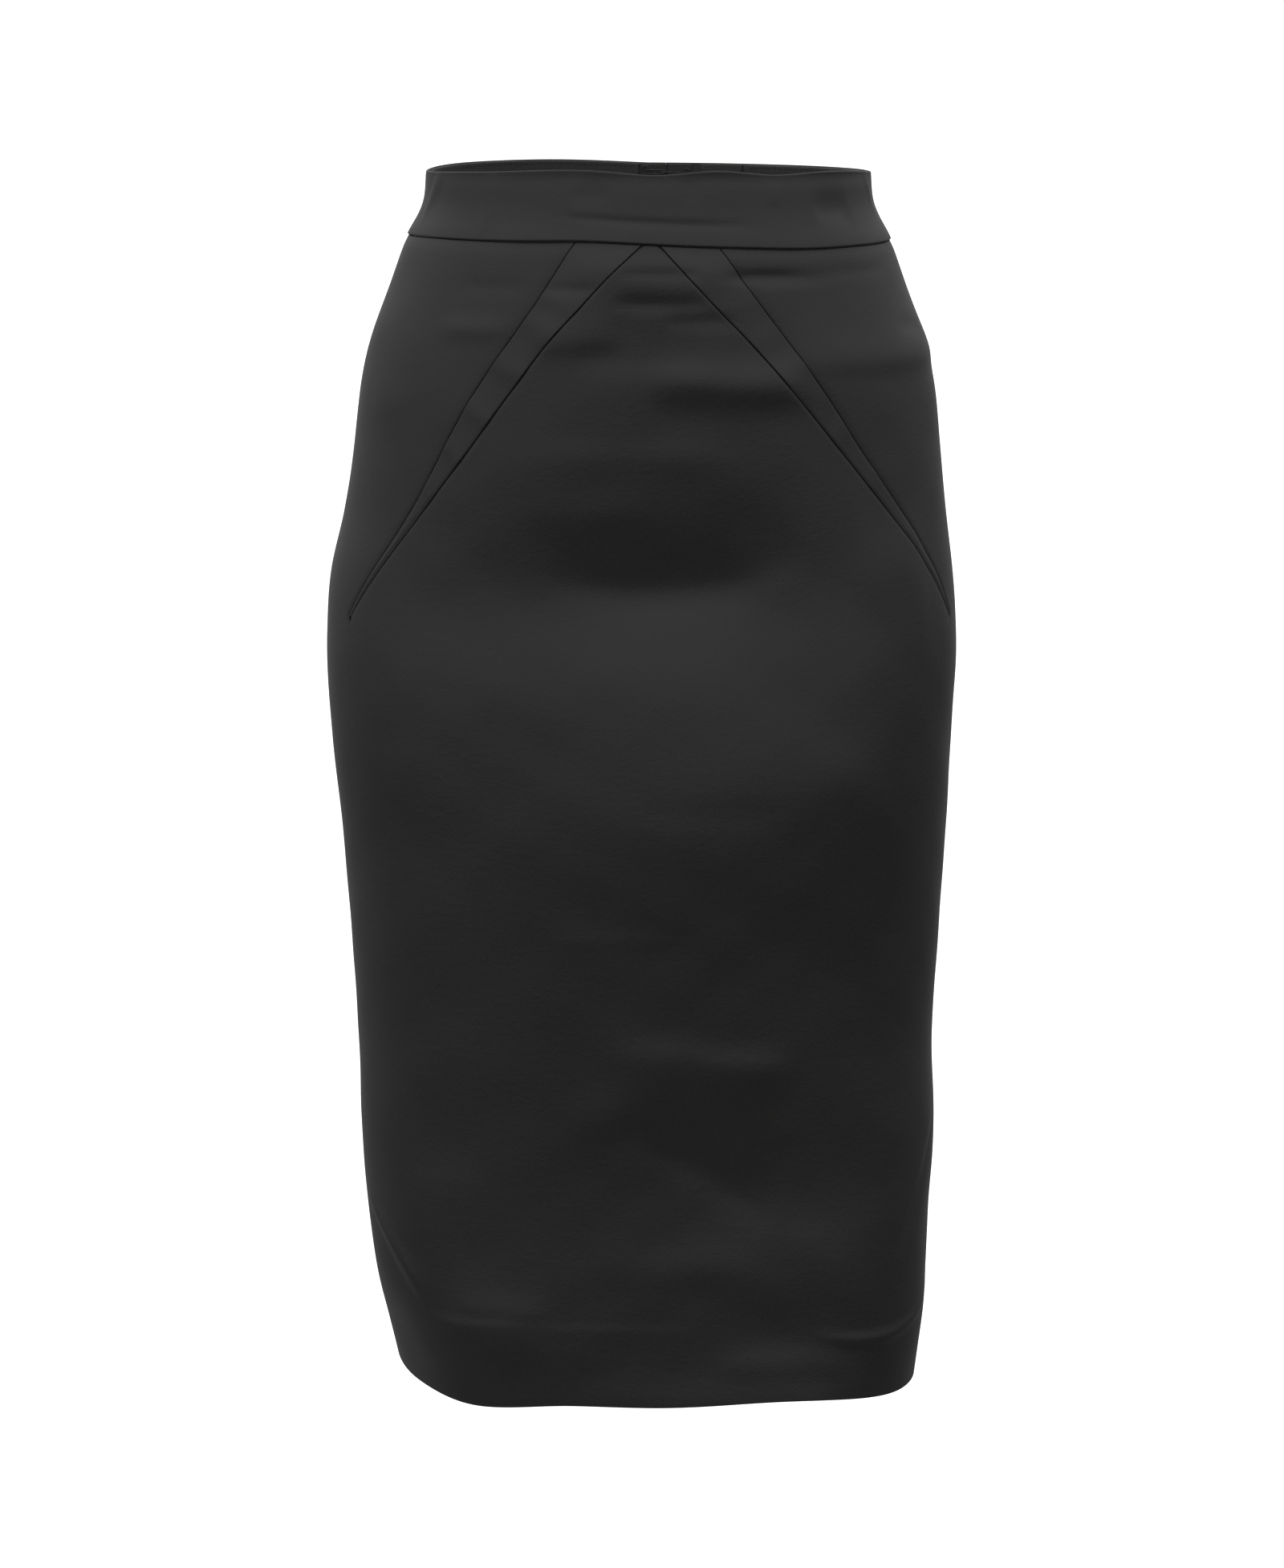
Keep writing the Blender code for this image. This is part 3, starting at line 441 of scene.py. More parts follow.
def inset_seams(side, drop):
    """The turns at a drop of the left and the right seam of an inset, the left inset's where
    side is -1 and the right one's where it is 1."""
    names = Inset._fields[1:3] if side < 0 else Inset._fields[3:]
    return [np.radians(column(INSETS, "drop", name, drop)) for name in names]


def front_sides(rows):
    """The turns at which a front piece starts and ends, just inside the side seams."""
    return (LEFT_SIDE + level(LEFT_SIDE, rows, HALF_SEWN),
            RIGHT_SIDE - level(RIGHT_SIDE, rows, HALF_SEWN))


def with_edge(turn, drop, table, at_drop, fade):
    """Drops moved by an edge's rise, fully at the edge and not at all beyond the fade."""
    rise = column(table, "turn", "rise", wrapped(np.degrees(turn)))
    return drop - rise * np.clip(1 - np.abs(drop - at_drop) / fade, 0, 1)


def crease_height(creases, turn, drop):
    """The creases' heights added up. Across a crease its height falls as exp(-(d / reach)^2),
    and along it as (1 - q^4)^2, with q from -1 at one end to 1 at the other."""
    degrees = np.degrees(turn)
    height = np.zeros(np.broadcast(turn, drop).shape)
    for crease in creases:
        middle = (crease.turn + crease.to_turn) / 2
        x = wrapped(degrees - middle) * METRES_PER_DEGREE
        y = drop - (crease.drop + crease.to_drop) / 2
        run = (crease.to_turn - crease.turn) * METRES_PER_DEGREE
        fall = crease.to_drop - crease.drop
        length = math.hypot(run, fall)
        q = np.clip(2 * (x * run + y * fall) / length**2, -1, 1)
        across = (y * run - x * fall) / length - crease.bow * (1 - q**2)
        reach = np.where(across < 0, crease.above, crease.below)
        height += crease.height * bell(across, reach) * (1 - q**4)**2
    return height


def ripple(turn, drop):
    """Faint unevenness of the cloth: standing waves, sin(round) * sin(down), longer round the
    body than down it."""
    waves = np.random.default_rng(11)
    height = np.zeros(np.broadcast(turn, drop).shape)
    for turns_round in (5, 7, 9, 12, 15, 19):
        down = waves.uniform(70, 190)
        phase, start = waves.uniform(0, FULL_TURN, 2)
        size = 0.008 / down
        height += size * (np.sin(turn * turns_round + phase + 1.3 * np.sin(11 * drop))
                          * np.sin(down * drop + start + 1.1 * np.sin(3 * turn)))
    return height


# Grids -----------------------------------------------------------------------------------------

def columns_between(start, end, drops, count):
    """Turns of `count` columns between two seams at every drop. The first and last stand at
    the distances in LIP from the seams and the others evenly between."""
    width = (end - start) / level((start + end) / 2, drops)
    lip = LIP[None, :] * np.minimum(1, width / (4 * LIP[-1]))[:, None]
    from_start = start[:, None] + lip * level(start, drops)[:, None]
    to_end = end[:, None] - lip[:, ::-1] * level(end, drops)[:, None]
    share = np.linspace(0, 1, count - 2 * len(LIP) + 2)[1:-1]
    middle = from_start[:, -1:] + share * (to_end[:, :1] - from_start[:, -1:])
    return np.concatenate([from_start, middle, to_end], axis=1)


def rows_between(top, bottom, spacing, fine=()):
    """Drops from one edge to another at about a spacing, with the rows of LIP at both edges,
    and closer rows round each drop in `fine`."""
    drops = np.linspace(top, bottom, 2000)
    density = np.ones_like(drops) / spacing
    for place, reach, boost in fine:
        density *= 1 + boost * bell(drops - place, reach)
    count = np.concatenate([[0], np.cumsum((density[1:] + density[:-1]) / 2 * np.diff(drops))])
    rows = np.interp(np.linspace(0, count[-1], int(count[-1])), count, drops)
    clear = (rows > top + 1.5 * LIP[-1]) & (rows < bottom - 1.5 * LIP[-1])
    return np.concatenate([top + LIP, rows[clear], bottom - LIP[::-1]])


def run_distance(points, solid, axis):
    """How far each place of a grid is, along its row (axis 1) or column (axis 0), from the
    nearer end of the cloth there. `solid` marks the cells that are cloth."""
    if axis == 0:
        return run_distance(points.swapaxes(0, 1), solid.T, 1).T
    along = travelled(points)
    cloth = np.vstack([solid[:1], solid]) | np.vstack([solid, solid[-1:]])
    nothing = np.zeros((len(cloth), 1), bool)
    left = np.concatenate([nothing, cloth], axis=1)
    right = np.concatenate([cloth, nothing], axis=1)
    far = 9.0
    start = np.maximum.accumulate(np.where(left, -far, along), axis=1)
    end = np.minimum.accumulate(np.where(right, far, along)[:, ::-1], axis=1)[:, ::-1]
    return np.minimum(along - start, end - along)


def edge_distance(place):
    """How far each place of a whole grid is along its row from the nearer side edge."""
    return run_distance(place, np.ones((place.shape[0] - 1, place.shape[1] - 1), bool), 1)


def shell(name, turn, drop, out, wall, group, round_edge=CLOTH_ROUND, keep=None):
    """A closed cloth shell over a grid of places, its outer face moved out by `out` and its
    inner one `wall` further in. Towards every edge both faces close on the middle of the wall
    as a half round: lip = wall / 2 * (1 - sqrt(1 - (1 - e)^2)), e the distance over the round.
    It has UVs in metres, and two attributes: edge is 1 at the cloth's edges and 0 away from
    them, and wrong_side is 1 on the inner face."""
    turn, drop, out, wall = np.broadcast_arrays(turn, drop, out, wall)
    cells = np.ones((turn.shape[0] - 1, turn.shape[1] - 1), bool) if keep is None else keep
    normal = outward(turn, drop)
    place = bare_surface(turn, drop) + normal * out[..., None]

    # places that coincide count as one, so a pointed piece closes at its tip
    same = np.unique(np.round(place.reshape(-1, 3) * 1e6).astype(np.int64), axis=0,
                     return_inverse=True)[1].reshape(turn.shape)
    pinched = (same[:-1, :-1] == same[:-1, 1:]) & (same[1:, :-1] == same[1:, 1:])
    solid = cells | pinched
    near = np.minimum(run_distance(place, solid, 1), run_distance(place, solid, 0))
    rounded = np.clip(near / round_edge, 0, 1)
    lip = wall / 2 * (1 - np.sqrt(1 - (1 - rounded)**2))

    # the rim is every place on a side that only one cell has
    corners = np.stack([same[:-1, :-1], same[1:, :-1], same[1:, 1:], same[:-1, 1:]], axis=-1)
    quads = corners[cells & ~pinched]
    sides = np.sort(np.stack([quads, np.roll(quads, -1, axis=1)], axis=-1).reshape(-1, 2), axis=1)
    sides = sides[sides[:, 0] != sides[:, 1]]
    found, uses = np.unique(sides, axis=0, return_counts=True)
    rim = np.zeros(same.max() + 1, bool)
    rim[found[uses == 1].ravel()] = True

    first = np.zeros(same.max() + 1, int)
    first[same.ravel()] = np.arange(same.size)

    def flat(values):
        return values.reshape(same.size, -1)[first]

    # the two faces share their places on the rim
    outer = flat(place - normal * lip[..., None])
    inner = flat(place - normal * (wall - lip)[..., None])
    outer = np.where(rim[:, None], (outer + inner) / 2, outer)
    inner_id = np.where(rim, np.arange(len(rim)), len(rim) + np.cumsum(~rim) - 1)
    points = np.concatenate([outer, inner[~rim]])
    faces = np.concatenate([quads, inner_id[quads[:, ::-1]]])
    used = np.zeros(len(points), bool)
    used[faces.ravel()] = True
    number = np.cumsum(used) - 1

    # across the cloth, u is measured from its middle column
    along, degrees = travelled(place), wrapped(np.degrees(turn[0]))
    anchor = np.argmin(np.abs(degrees - degrees.mean()))
    u = along - along[:, anchor:anchor + 1]
    values = flat(np.stack([u, drop, np.exp(-near / EDGE_TONE)], axis=-1))
    side = np.concatenate([np.where(rim, 0.5, 0.0), np.ones((~rim).sum())])[used]
    values = np.concatenate([values, values[~rim]])[used]
    item = mesh_object(name, points[used], number[faces], group)
    lay_uvs(item.data, values[:, :2])
    for label, numbers in (("edge", values[:, 2]), ("wrong_side", side)):
        made = item.data.attributes.new(label, "FLOAT", "POINT")
        made.data.foreach_set("value", numbers.astype(np.float32))
    return item


def mesh_object(name, points, faces, group):
    """A mesh object at the origin from arrays of points and of faces. A face that names a
    corner twice becomes a triangle."""
    mesh = bpy.data.meshes.new(name)
    twin = faces == np.roll(faces, -1, axis=1)
    sizes = np.where(twin.any(axis=1), faces.shape[1] - 1, faces.shape[1])
    corners = faces[~twin]
    mesh.vertices.add(len(points))
    mesh.vertices.foreach_set("co", np.ascontiguousarray(points, np.float32).ravel())
    mesh.loops.add(len(corners))
    mesh.loops.foreach_set("vertex_index", corners.astype(np.int32))
    mesh.polygons.add(len(faces))
    starts = np.concatenate([[0], np.cumsum(sizes)[:-1]])
    mesh.polygons.foreach_set("loop_start", starts.astype(np.int32))
    mesh.update(calc_edges=True)
    mesh.validate()
    mesh.shade_smooth()
    item = bpy.data.objects.new(name, mesh)
    group.objects.link(item)
    return item


def lay_uvs(mesh, uv):
    """A UV map named cloth with one place for each vertex."""
    layer = mesh.uv_layers.new(name="cloth")
    corner = np.empty(len(mesh.loops), np.int32)
    mesh.loops.foreach_get("vertex_index", corner)
    layer.data.foreach_set("uv", uv[corner].astype(np.float32).ravel())


def collection(name):
    """The collection of that name, made if it isn't there."""
    group = bpy.data.collections.get(name)
    if group is None:
        group = bpy.data.collections.new(name)
        bpy.context.scene.collection.children.link(group)
    return group


def finish_piece(item, finish, replaces=()):
    """Gives a piece its finish and hands it to the frame, on the skirt's body."""
    item.data.materials.append(finish)
    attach(item, "skirt")
    if replaces:
        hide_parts(*replaces)
    return item


# Shader maths ----------------------------------------------------------------------------------

class Signal:
    """A number that varies over the surface. Arithmetic on it adds Math nodes."""

    def __init__(self, finish, socket):
        self.finish, self.socket = finish, socket

    def __add__(self, other):
        return self.finish.math("ADD", self, other)

    def __sub__(self, other):
        return self.finish.math("SUBTRACT", self, other)

    def __rsub__(self, other):
        return self.finish.math("SUBTRACT", other, self)

    def __mul__(self, other):
        return self.finish.math("MULTIPLY", self, other)

    __radd__ = __add__
    __rmul__ = __mul__


class Finish:
    """A material under construction: a Principled shader and the nodes that feed it."""

    def __init__(self, name, colour, roughness, constants=()):
        self.material = bpy.data.materials.new(name)
        self.material.use_nodes = True
        self.material.diffuse_color = (*colour, 1.0)
        self.tree = self.material.node_tree
        self.shader = self.tree.nodes["Principled BSDF"]
        self.shader.inputs["Base Color"].default_value = (*colour, 1.0)
        self.shader.inputs["Roughness"].default_value = roughness
        for socket, value in constants:
            self.shader.inputs[socket].default_value = value

    def node(self, kind, settings=None, sockets=None):
        """A node of a type, its settings made first and then the values or links of its
        sockets. A setting named stops is a ramp's list of places and colours."""
        made = self.tree.nodes.new("ShaderNode" + kind)
        for setting, value in (settings or {}).items():
            if setting == "stops":
                stops = made.color_ramp.elements
                stops.remove(stops[1])
                stops[0].position, stops[0].color = value[0]
                for place, colour in value[1:]:
                    stops.new(place).color = colour
            else:
                setattr(made, setting, value)
        for socket, value in (sockets or {}).items():
            self.feed(made.inputs[socket], value)
        return made

    def feed(self, socket, value):
        """Links a signal or a node's socket to a socket, or sets its value."""
        if isinstance(value, Signal):
            value = value.socket
        if isinstance(value, bpy.types.NodeSocket):
            self.tree.links.new(value, socket)
        else:
            socket.default_value = value

    def math(self, operation, *values):
        """A Math node's result."""
        made = self.node("Math", {"operation": operation}, dict(enumerate(values)))
        return Signal(self, made.outputs[0])

    def cloth_place(self):
        """The piece's own UV map, in metres: across and down the cloth."""
        return self.node("UVMap", {"uv_map": "cloth"}).outputs["UV"]

    def scaled(self, vector, x, y, z=1.0):
        """A vector with its parts multiplied."""
        made = self.node("VectorMath", {"operation": "MULTIPLY"}, {0: vector, 1: (x, y, z)})
        return made.outputs[0]

    def parts(self, vector):
        """A vector's three parts."""
        made = self.node("SeparateXYZ", None, {0: vector})
        return [Signal(self, made.outputs[axis]) for axis in "XYZ"]

    def noise(self, vector, detail=2.0, rough=0.5, scale=1.0):
        """Noise from about 0 to 1."""
        made = self.node("TexNoise", None, {"Vector": vector, "Scale": scale, "Detail": detail,
                                            "Roughness": rough})
        return Signal(self, made.outputs["Fac"])

    def attribute(self, name):
        """A number stored on the mesh."""
        made = self.node("Attribute", {"attribute_name": name})
        return Signal(self, made.outputs["Fac"])

    def mix(self, share, one, other):
        """Two colours mixed."""
        made = self.node("Mix", {"data_type": "RGBA"}, {0: share, 6: one, 7: other})
        return made.outputs[2]

    def relief(self, height, depth, strength=1.0):
        """Gives the surface a fine relief, `depth` where the height is 1."""
        made = self.node("Bump", None, {"Height": height, "Distance": depth,
                                        "Strength": strength})
        self.feed(self.shader.inputs["Normal"], made.outputs["Normal"])

    def set(self, socket, value):
        """Feeds one of the shader's sockets."""
        self.feed(self.shader.inputs[socket], value)


class Surround(Finish):
    """The world's light under construction."""

    def __init__(self, name):
        self.world = bpy.data.worlds.new(name)
        self.world.use_nodes = True
        self.tree = self.world.node_tree


def tone(colour, factor):
    """A colour made lighter or darker, with its alpha."""
    return (*(part * factor for part in colour), 1.0)


def satin(name, colour, roughness, matt=0.15):
    """Stretch satin: short floats of yarn across the cloth, a soft unevenness over a few
    millimetres, seam edges a little duller than the rest, and a wrong side more matt."""
    made = Finish(name, colour, roughness, (("Specular IOR Level", 0.5),))
    place = made.cloth_place()
    floats = made.noise(made.scaled(place, 620.0, 1500.0), rough=0.6)
    yarn = made.noise(made.scaled(place, 2400.0, 700.0), detail=1.0)
    uneven = made.noise(made.scaled(place, 190.0, 280.0), detail=3.0, rough=0.6)
    cloudy = made.noise(made.scaled(place, 22.0, 34.0), detail=3.0, rough=0.55)
    edge, wrong = made.attribute("edge"), made.attribute("wrong_side")
    made.set("Base Color", made.mix(floats * 0.5 + yarn * 0.2 + cloudy * 0.3,
                                    tone(colour, 0.5), tone(colour, 1.5)))
    made.set("Roughness", roughness - 0.08 + cloudy * 0.08 + floats * 0.08 + edge * 0.05
             + wrong * matt)
    made.relief(floats * 0.5 + yarn * 0.15 + uneven * 1.1, depth=0.0001)
    return made.material


def ribbed(name, colour, roughness, across, down, pitch, depth):
    """A woven trim with straight ribs: sin(2 pi (across * u + down * v) / pitch), and yarn."""
    made = Finish(name, colour, roughness, (("Sheen Weight", 0.15), ("Sheen Roughness", 0.5)))
    place = made.cloth_place()
    u, v, _ = made.parts(place)
    rib = made.math("SINE", (u * across + v * down) * (FULL_TURN / pitch)) * 0.5 + 0.5
    yarn = made.noise(made.scaled(place, 1500.0, 1500.0))
    made.set("Base Color", made.mix(rib * 0.6 + yarn * 0.4, tone(colour, 0.45),
                                    tone(colour, 1.9)))
    made.set("Roughness", roughness - 0.08 + yarn * 0.16)
    made.relief(rib * 0.8 + yarn * 0.2, depth, strength=0.9)
    return made.material


def herringbone(name, colour):
    """Zip tape: slanting ribs that change sides every zigzag's width."""
    zigzag_width, rib_pitch = 0.0021, 0.0010
    made = Finish(name, colour, 0.7, (("Sheen Weight", 0.1), ("Sheen Roughness", 0.5)))
    place = made.cloth_place()
    u, v, _ = made.parts(place)
    zigzag = made.math("PINGPONG", u + 0.5, zigzag_width)
    rib = made.math("SINE", (zigzag + v) * (FULL_TURN / rib_pitch)) * 0.5 + 0.5
    yarn = made.noise(made.scaled(place, 1600.0, 1600.0))
    made.set("Base Color", made.mix(rib * 0.7 + yarn * 0.3, tone(colour, 0.4),
                                    tone(colour, 2.0)))
    made.set("Roughness", 0.6 + yarn * 0.2)
    made.relief(rib, depth=0.0002, strength=0.9)
    return made.material


def thread(name, colour):
    """Sewing thread: a fine twist along each stitch."""
    made = Finish(name, colour, 0.5, (("Sheen Weight", 0.2),))
    place = made.node("TexCoord").outputs["Object"]
    twist = made.noise(made.scaled(place, 2200.0, 2200.0, 2200.0), detail=1.0)
    made.set("Base Color", made.mix(twist, tone(colour, 0.6), tone(colour, 1.5)))
    made.set("Roughness", 0.42 + twist * 0.16)
    made.relief(twist, depth=0.00005, strength=0.5)
    return made.material


def metal(name, colour, roughness, metallic, worn):
    """Small hard parts: faint scratches, and a brighter tone, `worn` times the colour, in
    patches where hands rub them."""
    made = Finish(name, colour, roughness, (("Metallic", metallic),))
    place = made.node("TexCoord").outputs["Object"]
    brushed = made.noise(made.scaled(place, 900.0, 5200.0, 900.0), detail=3.0, rough=0.65)
    patchy = made.noise(place, scale=420.0)
    made.set("Base Color", made.mix(patchy, tone(colour, 0.75), tone(colour, worn)))
    made.set("Roughness", roughness - 0.08 + brushed * 0.16)
    made.relief(brushed, depth=0.00002, strength=0.4)
    return made.material


# Settings --------------------------------------------------------------------------------------

def colour_setting(name, description, default):
    """A colour of a finish."""
    return bpy.props.FloatVectorProperty(name=name, description=description, subtype="COLOR",
                                         default=default, min=0.0, max=1.0)


def length_setting(name, description, default, least=0.0):
    """A size in metres."""
    return bpy.props.FloatProperty(name=name, description=description, default=default,
                                   min=least, unit="LENGTH")


class SkirtCloth(bpy.types.PropertyGroup):
    """Colours and sizes of the cloth."""
    satin_colour: colour_setting("Satin", "Colour of the panels' satin", (0.0106, 0.0100, 0.0097))
    band_colour: colour_setting("Waistband", "Colour of the waistband's satin",
                                (0.0136, 0.0134, 0.0142))
    # The insets' colour is the panels' black satin made about 15 % lighter: painted sheen that
    # stands in for the light on their slanting weave.
    inset_colour_with_painted_sheen: colour_setting("Insets", "Colour of the inset bands", (0.0122, 0.0118, 0.0120))
    satin_roughness: bpy.props.FloatProperty(
        name="Roughness", description="How soft the satin's sheen is", default=0.42,
        min=0.0, max=1.0)
    spacing: length_setting("Spacing", "Size of the panels' mesh cells", 0.0027, 0.001)
    crease_scale: bpy.props.FloatProperty(
        name="Creases", description="Multiplies the height of every crease", default=1.0,
        min=0.0)
    seam_depth: length_setting("Seam depth", "How far a sewn edge turns in", 0.0004)
    seam_reach: length_setting("Seam reach", "Distance over which a sewn edge turns in",
                               0.0012, 0.0001)


class SkirtTrim(bpy.types.PropertyGroup):
    """Colours and sizes of the trims and the stitching."""
    ribbon_colour: colour_setting("Ribbon", "Colour of the ribbon inside the waistband",
                                  (0.020, 0.020, 0.0205))
    twill_colour: colour_setting("End facing", "Colour of the twill beside the zip",
                                 (0.024, 0.022, 0.020))
    tape_colour: colour_setting("Zip tape", "Colour of the zip's tapes", (0.020, 0.018, 0.017))
    rib_pitch: length_setting("Rib pitch", "From one rib of the ribbon to the next",
                              0.0012, 0.0004)
    rib_height: length_setting("Rib height", "Height of the ribbon's ribs", 0.00028)
    stitch_length: length_setting("Stitch", "Length of a machine stitch", 0.0024, 0.0005)
    thread_thickness: length_setting("Thread", "Thickness of the sewing thread", 0.00034, 0.0001)
    coil_pitch: length_setting("Coil pitch", "From one turn of the zip's coil to the next",
                               0.0013, 0.0005)


class SkirtStudio(bpy.types.PropertyGroup):
    """Floor, light and camera."""
    floor_drop: length_setting("Floor", "Height of the floor under the waistband", -1.04, -10.0)
    surround: bpy.props.FloatProperty(
        name="Surround", description="Brightness of the studio round the skirt",
        default=1.0, min=0.0)
    back_light: bpy.props.FloatProperty(
        name="Back light", description="Brightness of the soft light behind the skirt",
        default=0.40, min=0.0)
    lens: bpy.props.FloatProperty(
        name="Lens", description="Focal length of the camera", default=172.3, min=1.0,
        unit="CAMERA")
    tilt: bpy.props.FloatProperty(
        name="Tilt", description="How far the camera looks down", default=math.radians(7.3),
        subtype="ANGLE")


SETTINGS = (("skirt_cloth", SkirtCloth), ("skirt_trim", SkirtTrim), ("skirt_studio", SkirtStudio))


# Pieces ----------------------------------------------------------------------------------------

def cloth_relief(turn, drop, cloth):
    """Creases and unevenness of the panels and the insets."""
    return cloth.crease_scale * crease_height(CREASES, turn, drop) + ripple(turn, drop)


def panel_relief(turn, drop, rows, cloth):
    """The same, going in under the waistband's lower edge."""
    return cloth_relief(turn, drop, cloth) - waist_dip(turn, rows)


def turned_in(distance, cloth):
    """How far a sewn edge turns in: depth * exp(-(distance / reach)^2)."""
    return -cloth.seam_depth * bell(distance, cloth.seam_reach)


def panel_rows(cloth):
    """Rows of every panel: closer at the waist, at the slots' end and at the hem line."""
    return rows_between(BAND_DEPTH + HALF_SEWN, SKIRT_LENGTH, cloth.spacing,
                        ((BAND_DEPTH, 0.030, 0.5), (INSET_TIP, 0.006, 0.8),
                         (HEM_LINE, 0.006, 0.8)))


def panel_drops(turn, rows):
    """Drops of a panel's grid, its rows following the waist seam and the hem."""
    drop = with_edge(turn, as_grid(rows, turn), WAIST_EDGE, BAND_DEPTH, WAIST_FADE)
    return with_edge(turn, drop, HEM_EDGE, SKIRT_LENGTH, HEM_FADE)


def band_drops(turn, rows):
    """Drops of a grid in the waistband, its rows following the waist seam and the top edge."""
    drop = with_edge(turn, as_grid(rows, turn), WAIST_EDGE, BAND_DEPTH, WAIST_FADE)
    return with_edge(turn, drop, TOP_EDGE, 0.0, TOP_FADE)


def as_grid(rows, turn):
    """The rows' drops at every place of a grid, or along a line of as many places."""
    return np.broadcast_to(rows[:, None] if turn.ndim > 1 else rows, turn.shape)


def front_grid(rows):
    """Turns of the front panel's grid and its cells: a strip left of the slots, one between
    them and one right of them, which join below the slots' end."""
    opened = np.clip((SLOT_END - rows) / (SLOT_END - INSET_TIP), 0, 1)
    at = np.minimum(rows, INSET_TIP)
    start, end = front_sides(rows)
    edges = [start]
    for side in (-1, 1):
        left, right = inset_seams(side, at)
        middle = (left + right) / 2
        for seam, clear in ((left, -HALF_SEWN), (right, HALF_SEWN)):
            edges.append(middle + opened * (seam + level(seam, at, clear) - middle))
    edges.append(end)
    turn = np.concatenate([columns_between(*ends, rows, count) for *ends, count
                           in zip(edges[::2], edges[1::2], FRONT_COLUMNS)], axis=1)
    keep = np.ones((len(rows) - 1, turn.shape[1] - 1), bool)
    keep[:, np.cumsum(FRONT_COLUMNS)[:-1] - 1] = False
    return turn, keep


def front_panel(cloth, group):
    """The front, with slanting slots for the insets and a waist seam that goes in under the
    band, and its hem's turning."""
    rows = panel_rows(cloth)
    turn, keep = front_grid(rows)
    drop = panel_drops(turn, rows)
    whole_below = rows[1:, None] >= SLOT_END
    across = run_distance(surface(turn, drop), keep | whole_below, 1)
    out = panel_relief(turn, drop, rows, cloth) + turned_in(across, cloth)
    return (shell("front_satin", turn, drop, out, CLOTH, group, keep=keep),
            hem_turning("hem_turning_front", rows, turn, out, group))


def hem_turning(name, rows, turn, out, group, cut=(0, 0)):
    """The hem's turned-up layer: the panel's own last rows again, one wall further in. At each
    end it is cut short by some columns, or goes on beyond the seam where that number is 0."""
    turned = rows > HEM_LINE
    rows, turn, out = rows[turned], turn[turned], out[turned]
    for count in cut:
        if count:
            turn, out = turn[:, count:], out[:, count:]
        else:
            beyond = turn[:, :1] + TURNING_PAST_SEAM * (turn[:, :1] - turn[:, 1:2])
            turn, out = np.hstack([beyond, turn]), np.hstack([out[:, :1], out])
        turn, out = turn[:, ::-1], out[:, ::-1]
    drop = panel_drops(turn, rows) - TURNING_SHORT
    return shell(name, turn, drop, out - CLOTH - LAYER_GAP, ALLOWANCE_WALL, group,
                 ALLOWANCE_ROUND)


def allowance(name, start, end, rows, cloth, group, deeper=None):
    """Seam allowances pressed open inside the skirt: a strip between two turns at every row,
    on the wrong side of the panels' creases, with a slit's groove down its middle. `deeper`
    tells how much further in it lies at a drop."""
    turn = columns_between(start, end, rows, count=24)
    drop = panel_drops(turn, rows)
    share = np.linspace(-1, 1, turn.shape[1])
    out = panel_relief(turn, drop, rows, cloth) - CLOTH - LAYER_GAP
    out += SLIT_DEPTH * bell(share, SLIT_SHARE)
    if deeper:
        out -= deeper(drop)
    return shell(name, turn, drop, out, ALLOWANCE_WALL, group, ALLOWANCE_ROUND)


def seam_allowance(name, seam, top, bottom, cloth, group, deeper=None):
    """The pressed-open allowances of one upright seam, `seam` its turn at every drop."""
    rows = rows_between(top, bottom, spacing=0.004)
    middle = seam(rows)
    reach = level(middle, rows, ALLOWANCE)
    return allowance(name, middle - reach, middle + reach, rows, cloth, group, deeper)


def inset_allowance(name, side, cloth, group):
    """The allowances of both seams of an inset, which lie together behind it."""
    rows = rows_between(BAND_DEPTH + 0.001, INSET_TIP + 0.008, spacing=0.003)
    start, end = inset_seams(side, np.minimum(rows, INSET_TIP))
    return allowance(name, start - level(start, rows, SHORT_ALLOWANCE),
                     end + level(end, rows, SHORT_ALLOWANCE), rows, cloth, group)


def waist_allowance(cloth, group):
    """The waist seam's allowances, all round from one zip tape to the other. They start
    between the band and its ribbon, step in by as much again at the seam and pass inside the
    panels' upper edge."""
    behind_band, step_start, step_reach = 0.0014, BAND_DEPTH - 0.0027, 0.0025
    rows = rows_between(RIBBON_FOOT + 0.0005, BAND_DEPTH + SHORT_ALLOWANCE, spacing=0.0012)
    clear = TAPE_WIDTH + 0.002
    turn = columns_between(beside_back_seam(rows, clear) - FULL_TURN,
                           beside_back_seam(rows, -clear), rows, count=260)
    drop = band_drops(turn, rows)
    shared = np.minimum(band_relief(turn, drop, cloth), cloth_relief(turn, drop, cloth))
    step = eased(as_grid(rows, turn), step_start, step_reach)
    return shell("waist_allowance", turn, drop, shared - behind_band * (1 + step),
                 ALLOWANCE_WALL, group, ALLOWANCE_ROUND)


def vent_dip(drop):
    """How far the right back's edge goes in under the left one above and along the vent."""
    return (CLOTH + 2 * SEAM) * eased(drop, VENT_TOP - 0.016, 0.012)


def waist_dip(turn, rows):
    """How far a panel goes in under the waistband's lower edge, less towards the sides."""
    depth = 0.0010 - 0.0006 * eased(np.abs(wrapped(np.degrees(turn))), 30, 35)
    return depth * bell(as_grid(rows, turn) - BAND_DEPTH, 0.0035)


